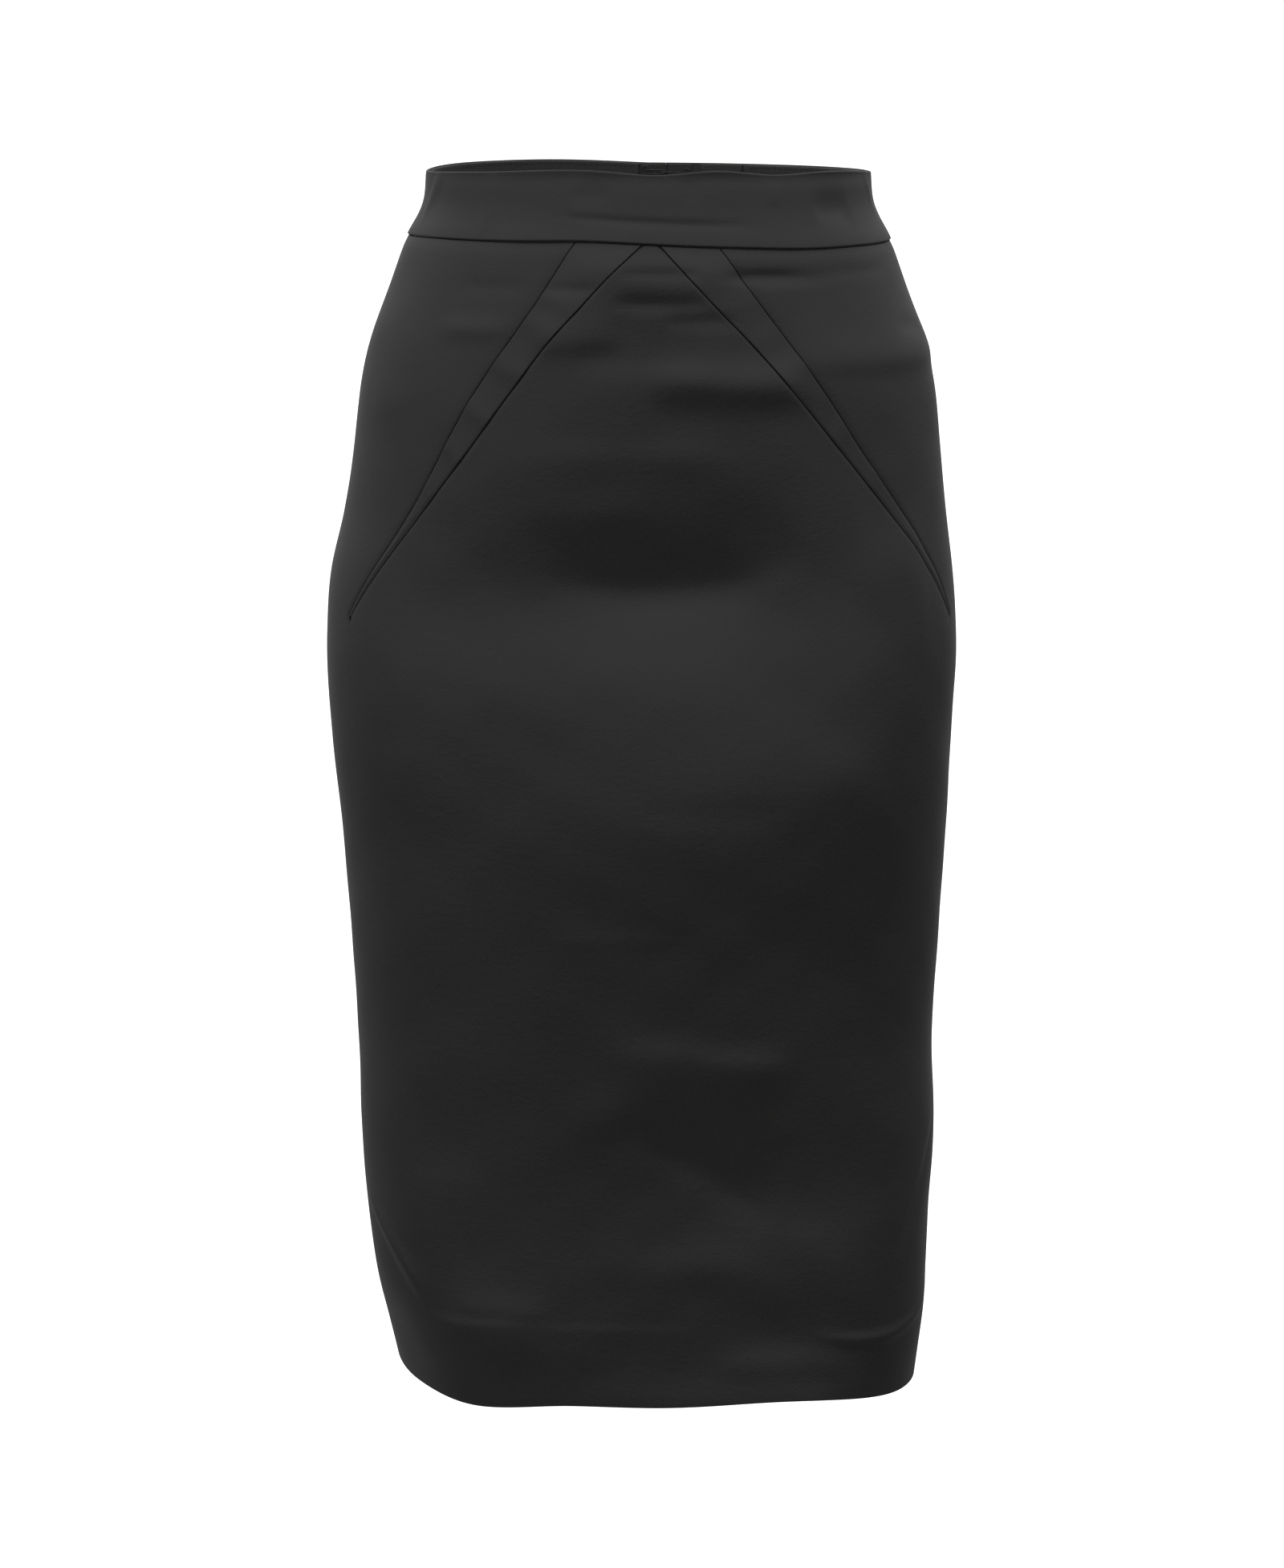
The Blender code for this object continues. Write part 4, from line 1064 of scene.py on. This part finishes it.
def inset(name, side, cloth, group):
    """One tapered inset band. It stands a little proud of the front panel and puckers along
    its length."""
    rows = rows_between(BAND_DEPTH + HALF_SEWN, INSET_TIP, spacing=0.0011)
    start, end = inset_seams(side, rows)
    turn = columns_between(start + level(start, rows, HALF_SEWN),
                           end - level(end, rows, HALF_SEWN), rows, count=26)
    drop = panel_drops(turn, rows)
    share = np.linspace(0, 1, turn.shape[1])
    inner = share if side < 0 else 1 - share
    width = travelled(surface(turn, drop))[:, -1:]
    out = INSET_PROUD + panel_relief(turn, drop, rows, cloth)
    out += turned_in(inner * width, cloth) + INNER_FOLD * turned_in((1 - inner) * width, cloth)
    fade = np.clip(width / PUCKER_FADE, 0, 1)
    for pucker in PUCKERS:
        if pucker.side == side:
            slant = drop - pucker.drop - PUCKER_SLANT * (inner - 0.5)
            out += pucker.height * fade * bell(slant, pucker.reach)
    return shell(name, turn, drop, out, CLOTH, group)


def back_turns(rows, side, half_gap, count):
    """Turns of one back's grid, from the side seam to the centre back on the right and on
    from there on the left."""
    centre = beside_back_seam(rows, -side * half_gap)
    if side > 0:
        start = RIGHT_SIDE + level(RIGHT_SIDE + BEHIND_SIDE, rows, HALF_SEWN)
        return columns_between(start, centre, rows, count)
    end = LEFT_SIDE + FULL_TURN - level(LEFT_SIDE - BEHIND_SIDE, rows, HALF_SEWN)
    return columns_between(centre, end, rows, count)


def dart_dip(turn, drop, side):
    """The sewn line of the back's dart: a narrow groove between two soft rises, which runs out
    at the dart's point."""
    line = back_seam(drop) - side * DART_TURN * (1 - 0.25 * eased(drop, 0, DART_END))
    away = np.abs(turn - line) / level(turn, drop)
    fade = 1 - eased(drop, DART_END - 0.030, 0.030)
    return fade * (0.0006 * bell(away, 0.0022) - 0.0005 * bell(away, 0.008))


def with_underlap(rows, turn, drop, out):
    """A back's grid carried on beyond the centre back by the vent's underlap, and its cells,
    which are the underlap's only along the vent."""
    share = np.linspace(0, 1, 15)[1:]
    lap = turn[:, -1:] + share * level(turn[:, -1:], rows[:, None], VENT_LAP)
    keep = np.ones((len(rows) - 1, turn.shape[1] + lap.shape[1] - 1), bool)
    keep[:, turn.shape[1] - 1:] = rows[:-1, None] > VENT_TOP - 0.0085
    return (np.hstack([turn, lap]), np.hstack([drop, panel_drops(lap, rows)]),
            np.hstack([out, np.broadcast_to(out[:, -1:], lap.shape)]), keep)


def back_panel(name, side, cloth, group):
    """One back panel and its hem's turning. The right one dips under the left along the vent
    and carries its underlap; both turn in at the centre back, and have one dart."""
    rows = panel_rows(cloth)
    turn = back_turns(rows, side, HALF_SEWN, count=92)
    drop = panel_drops(turn, rows)
    across = edge_distance(surface(turn, drop))
    from_centre = np.abs(turn - back_seam(rows)[:, None]) / level(turn, drop)
    dip = vent_dip(drop)
    sewn = np.where(from_centre < 0.05, 1 - dip / dip.max(), 1.0)
    out = panel_relief(turn, drop, rows, cloth)
    out += sewn * turned_in(across, cloth) - dart_dip(turn, drop, side)
    keep, cut = None, (CUT_AT_VENT, CUT_AT_SIDE)
    if side > 0:
        out -= dip * (1 - eased(from_centre, 0.003, 0.010))
        turn, drop, out, keep = with_underlap(rows, turn, drop, out)
        cut = (CUT_AT_SIDE, CUT_AT_VENT)
    return (shell(name, turn, drop, out, CLOTH, group, keep=keep),
            hem_turning(name.replace("back_satin", "hem_turning"), rows, turn, out, group, cut))


def waistband(name, part, cloth, group):
    """One piece of the shaped waistband, from the folded top edge to the seam, which it
    overhangs a little."""
    rows = rows_between(0.0, BAND_DEPTH - HALF_SEWN, spacing=0.0012)
    if part == "front":
        turn = columns_between(*front_sides(rows), rows, count=190)
    else:
        turn = back_turns(rows, 1 if part == "right" else -1, parting(rows), count=110)
    drop = band_drops(turn, rows)
    row = as_grid(rows, turn)
    out = BAND_PROUD * row / BAND_DEPTH + BAND_EDGE_PROUD * eased(row, 0.024, 0.010)
    out += band_relief(turn, drop, cloth) + 0.25 * ripple(turn, drop)
    out += BAND_FOLD * turned_in(edge_distance(surface(turn, drop)), cloth)
    return shell(name, turn, drop, out, BAND_WALL, group, BAND_ROUND)


def slider_opening(drop):
    """1 where the opening's sides stand apart round the zip's slider, 0 where they meet."""
    return eased(drop, 0.0065, 0.002) * (1 - eased(drop, 0.019, 0.004))


def parting(drop):
    """Half the distance between the two sides of the opening at a drop."""
    return CLOSED + (HALF_PARTING - CLOSED) * slider_opening(drop)


def band_relief(turn, drop, cloth):
    """The waistband's creases and its top edge, which rolls in at the front by
    size * exp(-(drop / 5 mm)^2), a little more on the right, and leans out at the back."""
    roll = (0.0007 + 0.0003 * np.sin(turn)) * eased(np.cos(turn), 0, 1 / 3)
    lean = 0.0007 * eased(-np.cos(turn), 0, 1 / 3)
    return (cloth.crease_scale * crease_height(BAND_CREASES, turn, drop)
            - roll * bell(drop, 0.005) + lean * bell(drop, 0.004))


def band_inside(turn, drop, cloth):
    """How far in a trim on the inside of the waistband lies."""
    return TRIM_INSIDE + band_relief(turn, drop, cloth)


def ribbon(cloth, trim, group):
    """The ribbon inside the waistband, from the zip's left side round the front to the end
    facing. Its upright ribs are height * |sin(pi u / pitch)| on its inner face."""
    rows = rows_between(RIBBON_TOP, RIBBON_FOOT, spacing=0.006)
    ribs = int(RIBBON_LENGTH / trim.rib_pitch)
    turn = columns_between(beside_back_seam(rows, TAPE_WIDTH + SEAM) - FULL_TURN,
                           beside_back_seam(rows, -FACING_TO - SEAM), rows,
                           count=4 * ribs + 2 * len(LIP))
    drop = band_drops(turn, rows)
    in_ribs = np.linspace(0, ribs, turn.shape[1])
    wall = RIBBON_WALL + trim.rib_height * np.abs(np.sin(np.pi * in_ribs))
    return shell("ribbed_ribbon", turn, drop, band_inside(turn, drop, cloth), wall, group,
                 TRIM_ROUND)


def end_facing(cloth, group):
    """The twill facing on the right between the ribbon and the zip."""
    rows = rows_between(RIBBON_TOP, RIBBON_FOOT, spacing=0.0012)
    turn = columns_between(beside_back_seam(rows, -FACING_TO),
                           beside_back_seam(rows, -FACING_FROM), rows, count=30)
    drop = band_drops(turn, rows)
    return shell("twill_facing", turn, drop, band_inside(turn, drop, cloth), TRIM_WALL, group,
                 TRIM_ROUND)


def zip_tape(name, side, cloth, group):
    """One side of the zip's tape, behind the waistband and the back panel."""
    rows = rows_between(RIBBON_TOP, ZIP_END, spacing=0.0026)
    meeting = side * parting(rows) + TAPE_MEETING * (1 - slider_opening(rows))
    near = beside_back_seam(rows, -meeting)
    far = beside_back_seam(rows, -side * TAPE_WIDTH)
    turn = columns_between(np.minimum(near, far), np.maximum(near, far), rows, count=20)
    drop = band_drops(turn, rows)
    out = band_inside(turn, drop, cloth) - TAPE_DEEPER * eased(drop, BAND_DEPTH, 0.006)
    return shell(name, turn, drop, out, TRIM_WALL, group, TRIM_ROUND)


def zip_coil(name, side, trim, group):
    """One side's nylon coil inside the zip: a tube along a helix, its centre line
    (a cos t, b sin t) across the seam while it runs down the cloth. The right one starts half
    a turn lower."""
    length = COIL_FOOT - COIL_TOP
    turns = int(length / trim.coil_pitch)
    t = np.linspace(0, FULL_TURN * turns, turns * 14 + 1)
    drop = COIL_TOP + length * t / t[-1] + (0.5 * trim.coil_pitch if side > 0 else 0.0)
    turn = beside_back_seam(drop, -side * (COIL_OFF + COIL_HALF_WIDTH * np.cos(t)))
    depth = TRIM_FACE - TAPE_DEEPER - COIL_IN + COIL_HALF_DEPTH * np.sin(t)
    return tube(name, surface(turn, drop, depth), COIL_RADIUS, 6, group)


def zip_stop(name, side, drop, group):
    """A stop of the zip: a short thick staple of wire across one side's coil, its middle
    raised by height * (1 - share^4)."""
    share = np.linspace(-1, 1, 12)
    drops = np.full_like(share, drop)
    turn = beside_back_seam(drops, -side * STOP_OFF - STOP_HALF_WIDTH * share)
    depth = TRIM_FACE - 0.0006 - 0.0007 * (1 - share**4)
    return tube(name, surface(turn, drops, depth), STOP_RADIUS, 10, group)


def ring_faces(rings, sides):
    """The faces between rings of points that are numbered one ring after another."""
    ring, place = np.meshgrid(np.arange(rings - 1), np.arange(sides), indexing="ij")
    beside = (place + 1) % sides
    return np.stack([ring * sides + place, ring * sides + beside, (ring + 1) * sides + beside,
                     (ring + 1) * sides + place], axis=-1).reshape(-1, 4)


def tube(name, line, radius, sides, group):
    """A closed round tube along a line of points. Its rings stand square to the line, on two
    directions that the line's tangent and the skirt's axis give."""
    tangent = unit(np.gradient(line, axis=0))
    first = unit(np.cross(tangent, unit(line * (1, 1, 0))))
    second = np.cross(tangent, first)
    angle = np.linspace(0, FULL_TURN, sides, endpoint=False)[:, None]
    ring = np.cos(angle) * first[:, None] + np.sin(angle) * second[:, None]
    points = (line[:, None] + radius * ring).reshape(-1, 3)
    points = np.concatenate([points, line[:1], line[-1:]])
    k = np.arange(sides)
    beside, tip = (k + 1) % sides, np.full(sides, len(line) * sides)
    last = (len(line) - 1) * sides
    faces = np.concatenate([ring_faces(len(line), sides),
                            np.stack([beside, k, tip, tip], axis=-1),
                            np.stack([last + k, last + beside, tip + 1, tip + 1], axis=-1)])
    return mesh_object(name, points, faces, group)


def read_along(values, lengths, at):
    """Rows of values that belong to lengths along a line, read at other lengths of it."""
    return np.stack([np.interp(at, lengths, part) for part in values.T], axis=-1)


def stitches(name, lines, trim, group, gap=0.35):
    """Rows of machine stitches. Each line is an array of points that the thread follows, with
    the direction out of the cloth. A stitch is a small capsule of six rings at t = -1 to 1,
    with radius r sqrt(1 - t^4), and is lifted by 2 r (0.35 - 0.75 t^4), so its middle stands
    proud and its ends are sunken."""
    step = trim.stitch_length * (1 + gap)
    centres, alongs, outs = [], [], []
    for line, normal in lines:
        lengths = travelled(line)
        at = np.arange(step / 2, lengths[-1] - step / 4, step)
        centres.append(read_along(line, lengths, at))
        alongs.append(unit(read_along(line, lengths, at + step / 2)
                           - read_along(line, lengths, at - step / 2)))
        outs.append(unit(read_along(normal, lengths, at)))
    centre, along, out = (np.concatenate(part)[:, None, None] for part in (centres, alongs, outs))
    t = np.array([-1.0, -0.8, -0.35, 0.35, 0.8, 1.0])[:, None, None]
    angle = np.linspace(0, FULL_TURN, 6, endpoint=False)[:, None]
    radius = trim.thread_thickness / 2 * np.sqrt(np.maximum(1 - t**4, 0.02))
    lift = trim.thread_thickness * (0.35 - 0.75 * t**4)
    points = (centre + along * t * trim.stitch_length / 2 + out * lift
              + radius * (np.cos(angle) * np.cross(along, out) + np.sin(angle) * out))
    count, rings, sides = points.shape[:3]
    start_cap = np.array([[0, 3, 2, 1], [0, 5, 4, 3]])
    end_cap = (rings - 1) * sides + np.array([[0, 1, 2, 3], [0, 3, 4, 5]])
    one = np.concatenate([ring_faces(rings, sides), start_cap, end_cap])
    faces = (np.arange(count)[:, None, None] * rings * sides + one).reshape(-1, 4)
    return mesh_object(name, points.reshape(-1, 3), faces[:, ::-1], group)


def seam_line(turn, drop, out, facing):
    """Points and directions for a row of stitches along places of the surface. `facing` is 1
    where the thread lies on the outside and -1 on the inside."""
    return surface(turn, drop, out), facing * outward(turn, drop)


def hem_stitches(cloth, trim, group):
    """The hem's blind stitches: one every few millimetres along the turning's upper edge."""
    inside = -CLOTH - LAYER_GAP - ALLOWANCE_WALL - 0.00005
    from_seam = 0.02
    centre = float(back_seam(SKIRT_LENGTH))
    lines = []
    for start, end in ((LEFT_SIDE, RIGHT_SIDE), (RIGHT_SIDE, centre - 0.01),
                       (centre + 0.02, LEFT_SIDE + FULL_TURN)):
        turn = np.linspace(start + from_seam, end - from_seam, 400)
        drop = panel_drops(turn, np.full_like(turn, HEM_LINE + 0.0022))
        lines.append(seam_line(turn, drop, cloth_relief(turn, drop, cloth) + inside, -1))
    return stitches("hem_stitches", lines, trim, group, gap=2.2)


def vent_tack(cloth, trim, group):
    """The slanting row of stitches outside on the left back that holds the vent's underlap."""
    share = np.linspace(0, 1, 60)
    drop = VENT_TOP + 0.002 - 0.020 * share
    turn = beside_back_seam(drop, VENT_LAP * share)
    out = cloth_relief(turn, drop, cloth)
    return stitches("vent_tack", [seam_line(turn, drop, out, 1)], trim, group)


def trim_stitches(cloth, trim, group):
    """Stitches on the trims inside the waist: along both edges of the ribbon, down both ends
    of ribbon and facing, and down the zip's tapes."""
    over_ribs = TRIM_FACE - 0.00012
    foot, tape_foot = RIBBON_FOOT - 0.001, BAND_DEPTH - 0.001
    middle_row, from_end, in_tape = 0.015, 0.002, 0.0045

    def sewn(turn, row, depth):
        drop = band_drops(turn, row)
        return seam_line(turn, drop, band_relief(turn, drop, cloth) + depth, -1)

    around = np.linspace(beside_back_seam(middle_row, TAPE_WIDTH + from_end) - FULL_TURN,
                         beside_back_seam(middle_row, -FACING_TO - from_end), 900)
    lines = [sewn(around, np.full_like(around, row), over_ribs)
             for row in (RIBBON_TOP + 0.0013, RIBBON_FOOT - 0.0015)]
    for distance, bottom, depth in ((TAPE_WIDTH + 0.0013, foot, over_ribs),
                                    (-FACING_FROM - 0.0010, foot, TRIM_FACE),
                                    (-FACING_TO + 0.0010, foot, TRIM_FACE),
                                    (-FACING_TO - 0.0012, foot, over_ribs),
                                    (TAPE_WIDTH - in_tape, tape_foot, TRIM_FACE),
                                    (-TAPE_WIDTH + in_tape, tape_foot, TRIM_FACE)):
        rows = np.linspace(RIBBON_TOP + 0.001, bottom, 300)
        lines.append(sewn(beside_back_seam(rows, distance), rows, depth))
    return stitches("trim_stitches", lines, trim, group)


# Operators -------------------------------------------------------------------------------------

FLOOR_REACH = 30.0
CAMERA_PLACE = (0.0, -4.0, 0.2017)


class SKIRT_OT_front(bpy.types.Operator):
    """Make the front panel and the two inset bands"""
    bl_idname = "skirt.front"
    bl_label = "Front and insets"

    def execute(self, context):
        cloth = context.scene.skirt_cloth
        group = collection("Skirt cloth")
        finish = satin("Panel satin", tuple(cloth.satin_colour), cloth.satin_roughness)
        front, turning = front_panel(cloth, group)
        inside = [turning]
        for name, side in (("inset_allowance_left", -1), ("inset_allowance_right", 1)):
            inside.append(inset_allowance(name, side, cloth, group))
        for name, turn in (("side_allowance_left", LEFT_SIDE),
                           ("side_allowance_right", RIGHT_SIDE)):
            inside.append(seam_allowance(name, lambda rows: np.full_like(rows, turn),
                                         BAND_DEPTH + ALLOWANCE, HEM_LINE - 0.001, cloth, group))
        inside.append(waist_allowance(cloth, group))
        for layer in inside:
            finish_piece(layer, finish)
        finish_piece(front, finish, ["front_panel"])
        # The insets' lighter base colour is painted sheen of the light on their slanting weave, not
        # a different dye.
        tape = satin("Inset satin", tuple(cloth.inset_colour_with_painted_sheen), cloth.satin_roughness - 0.02)
        for name, node, side in (("inset_satin_left", "inset_left", -1),
                                 ("inset_satin_right", "inset_right", 1)):
            band = finish_piece(inset(name, side, cloth, group), tape, [node])
        return {"FINISHED"}


class SKIRT_OT_backs(bpy.types.Operator):
    """Make the two back panels"""
    bl_idname = "skirt.backs"
    bl_label = "Backs"

    def execute(self, context):
        cloth, trim = context.scene.skirt_cloth, context.scene.skirt_trim
        group = collection("Skirt cloth")
        finish = bpy.data.materials["Panel satin"]
        cotton = thread("Sewing thread", (0.016, 0.016, 0.016))
        centre = seam_allowance("centre_back_allowance", back_seam, ZIP_END + 0.002,
                                VENT_TOP - 0.004, cloth, group, vent_dip)
        finish_piece(centre, finish)
        sewn = [finish_piece(hem_stitches(cloth, trim, group), cotton),
                finish_piece(vent_tack(cloth, trim, group), cotton)]
        for name, node, side, more in (("back_satin_left", "back_left", -1, [centre, *sewn]),
                                       ("back_satin_right", "back_right", 1, [])):
            back, turning = back_panel(name, side, cloth, group)
            finish_piece(back, finish, [node])
            finish_piece(turning, finish)
        return {"FINISHED"}


class SKIRT_OT_waistband(bpy.types.Operator):
    """Make the shaped waistband"""
    bl_idname = "skirt.waistband"
    bl_label = "Waistband"

    def execute(self, context):
        cloth = context.scene.skirt_cloth
        group = collection("Skirt cloth")
        finish = satin("Waistband satin", tuple(cloth.band_colour), cloth.satin_roughness,
                       matt=0.0)
        for part, node, width in (("front", "waistband_front", 0.37),
                                  ("left", "waistband_back_left", 0.20),
                                  ("right", "waistband_back_right", 0.18)):
            band = waistband("waist_satin_" + part, part, cloth, group)
            finish_piece(band, finish, [node])
        return {"FINISHED"}


class SKIRT_OT_trims(bpy.types.Operator):
    """Make the ribbon and the end facing inside the waistband"""
    bl_idname = "skirt.trims"
    bl_label = "Ribbon and facing"

    def execute(self, context):
        cloth, trim = context.scene.skirt_cloth, context.scene.skirt_trim
        group = collection("Skirt trims")
        ribs = ribbed("Ribbed ribbon", tuple(trim.ribbon_colour), roughness=0.55, across=0.0,
                      down=1.0, pitch=0.0004, depth=0.00004)
        band = finish_piece(ribbon(cloth, trim, group), ribs, ["waist_ribbon"])
        sewn = finish_piece(trim_stitches(cloth, trim, group),
                            bpy.data.materials["Sewing thread"])
        twill = ribbed("Facing twill", tuple(trim.twill_colour), roughness=0.6, across=1.0,
                       down=0.8, pitch=0.0011, depth=0.0003)
        facing = finish_piece(end_facing(cloth, group), twill, ["end_facing"])
        return {"FINISHED"}


class SKIRT_OT_zip(bpy.types.Operator):
    """Make the zip's tapes and coils, and finish the slider, the pull, the hook and the eye"""
    bl_idname = "skirt.zip"
    bl_label = "Zip, hook and eye"

    def execute(self, context):
        cloth, trim = context.scene.skirt_cloth, context.scene.skirt_trim
        group = collection("Skirt trims")
        weave = herringbone("Zip tape", tuple(trim.tape_colour))
        lacquer = metal("Black lacquer", (0.015, 0.015, 0.015), roughness=0.35, metallic=0.6,
                        worn=2.2)
        nylon = metal("Zip coil", (0.012, 0.012, 0.012), roughness=0.4, metallic=0.0, worn=1.6)
        for side, name in ((-1, "left"), (1, "right")):
            tape = zip_tape("tape_" + name, side, cloth, group)
            finish_piece(tape, weave, ["zip_tape_" + name])
            more = [finish_piece(zip_coil("zip_coil_" + name, side, trim, group), nylon)]
            for place, drop in (("top", 0.0070), ("bottom", COIL_FOOT)):
                stop = zip_stop("%s_stop_%s" % (place, name), side, drop, group)
                more.append(finish_piece(stop, lacquer))
        enamel = metal("Black enamel", (0.022, 0.022, 0.022), roughness=0.38, metallic=0.4,
                       worn=3.0)
        for node, finish in (("zip_slider", lacquer), ("zip_pull", lacquer),
                             ("waist_hook", enamel), ("waist_eye", enamel)):
            item = frame["nodes"][node]
            for place in item.material_slots:
                place.material = finish
        return {"FINISHED"}


class SKIRT_OT_studio(bpy.types.Operator):
    """Make the floor, the light all round and the camera"""
    bl_idname = "skirt.studio"
    bl_label = "Studio"

    def execute(self, context):
        studio = context.scene.skirt_studio
        group = collection("Studio")
        corners = FLOOR_REACH * np.array([(-1, -1), (1, -1), (1, 1), (-1, 1)])
        points = np.hstack([corners, np.full((4, 1), studio.floor_drop)])
        floor = mesh_object("studio_floor", points, np.array([[0, 1, 2, 3]]), group)
        pale = Finish("Pale floor", (0.90, 0.90, 0.90), 0.9)
        pale.shader.inputs["Emission Color"].default_value = (1.0, 1.0, 1.0, 1.0)
        pale.shader.inputs["Emission Strength"].default_value = 0.75
        floor.data.materials.append(pale.material)
        floor.visible_glossy = False
        floor.visible_diffuse = False

        context.scene.world = surround(studio)

        camera = bpy.data.cameras.new("Camera")
        camera.lens = studio.lens
        camera.sensor_width = 36.0
        camera.clip_end = 100.0
        item = bpy.data.objects.new("Camera", camera)
        item.location = CAMERA_PLACE
        item.rotation_euler = (math.radians(90) - studio.tilt, 0.0, 0.0)
        group.objects.link(item)
        context.scene.camera = item
        context.scene.view_settings.view_transform = "Standard"
        return {"FINISHED"}


def surround(studio):
    """The light all round, grey by SKY: bright from the side and high up, dimmer overhead, dark
    where the floor ends and grey below. It is a little brighter at both sides and on the left,
    and a soft light stands behind. The camera itself sees plain white."""
    made = Surround("Studio surround")
    across, back, up = made.parts(made.node("TexCoord").outputs["Generated"])
    raised = made.math("ARCSINE", up) * (1 / math.pi) + 0.5

    def ramp(side):
        stops = [((row.height + 90) / 180, (*[getattr(row, side)] * 3, 1.0)) for row in SKY]
        return Signal(made, made.node("ValToRGB", {"stops": stops}, {"Fac": raised}).outputs[0])

    rearward = back * 0.5 + 0.5
    grey = ramp("front") * (1.0 - rearward) + ramp("rear") * rearward
    below = made.math("LESS_THAN", up, 0.0)
    skew = across * (1.0 - across * across * 0.35)
    grey = grey * (1.0 - skew * (below * 0.45 + 0.04) + across * across * 0.06)
    behind = made.math("MAXIMUM", back * 8.0 - 7.0, 0.0)
    near_level = made.math("MAXIMUM", 1.0 - up * up * 4.0, 0.0)
    grey = grey + behind * near_level * studio.back_light
    dim = made.node("Background", None, {"Strength": grey * studio.surround})
    white = made.node("Background", None, {"Color": (1.0, 1.0, 1.0, 1.0)})
    path = made.node("LightPath")
    mix = made.node("MixShader", None, {0: path.outputs["Is Camera Ray"],
                                        1: dim.outputs[0], 2: white.outputs[0]})
    made.feed(made.tree.nodes["World Output"].inputs["Surface"], mix.outputs[0])
    return made.world


class SKIRT_PT_panel(bpy.types.Panel):
    """Sizes, colours and pieces of the skirt"""
    bl_idname = "SKIRT_PT_panel"
    bl_label = "Pencil Skirt"
    bl_space_type = "VIEW_3D"
    bl_region_type = "UI"
    bl_category = "Skirt"

    def draw(self, context):
        layout = self.layout
        for group, kind in SETTINGS:
            settings = getattr(context.scene, group)
            for name in kind.__annotations__:
                layout.prop(settings, name)
        for operator in OPERATORS:
            layout.operator(operator.bl_idname)


OPERATORS = (SKIRT_OT_front, SKIRT_OT_backs, SKIRT_OT_waistband, SKIRT_OT_trims, SKIRT_OT_zip,
             SKIRT_OT_studio)


def register():
    """Adds the settings, the operators and the panel."""
    for group, kind in SETTINGS:
        bpy.utils.register_class(kind)
        setattr(bpy.types.Scene, group, bpy.props.PointerProperty(type=kind))
    for kind in (*OPERATORS, SKIRT_PT_panel):
        bpy.utils.register_class(kind)


def unregister():
    """Takes them away again."""
    for kind in (SKIRT_PT_panel, *reversed(OPERATORS)):
        bpy.utils.unregister_class(kind)
    for group, kind in reversed(SETTINGS):
        delattr(bpy.types.Scene, group)
        bpy.utils.unregister_class(kind)


def main():
    """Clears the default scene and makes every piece."""
    for item in list(bpy.context.scene.objects):
        if item.name in ("Cube", "Light", "Camera") and not item.parent:
            bpy.data.objects.remove(item, do_unlink=True)
    register()
    bpy.ops.skirt.front()
    bpy.ops.skirt.backs()
    bpy.ops.skirt.waistband()
    bpy.ops.skirt.trims()
    bpy.ops.skirt.zip()
    bpy.ops.skirt.studio()


if __name__ == "__main__":
    main()
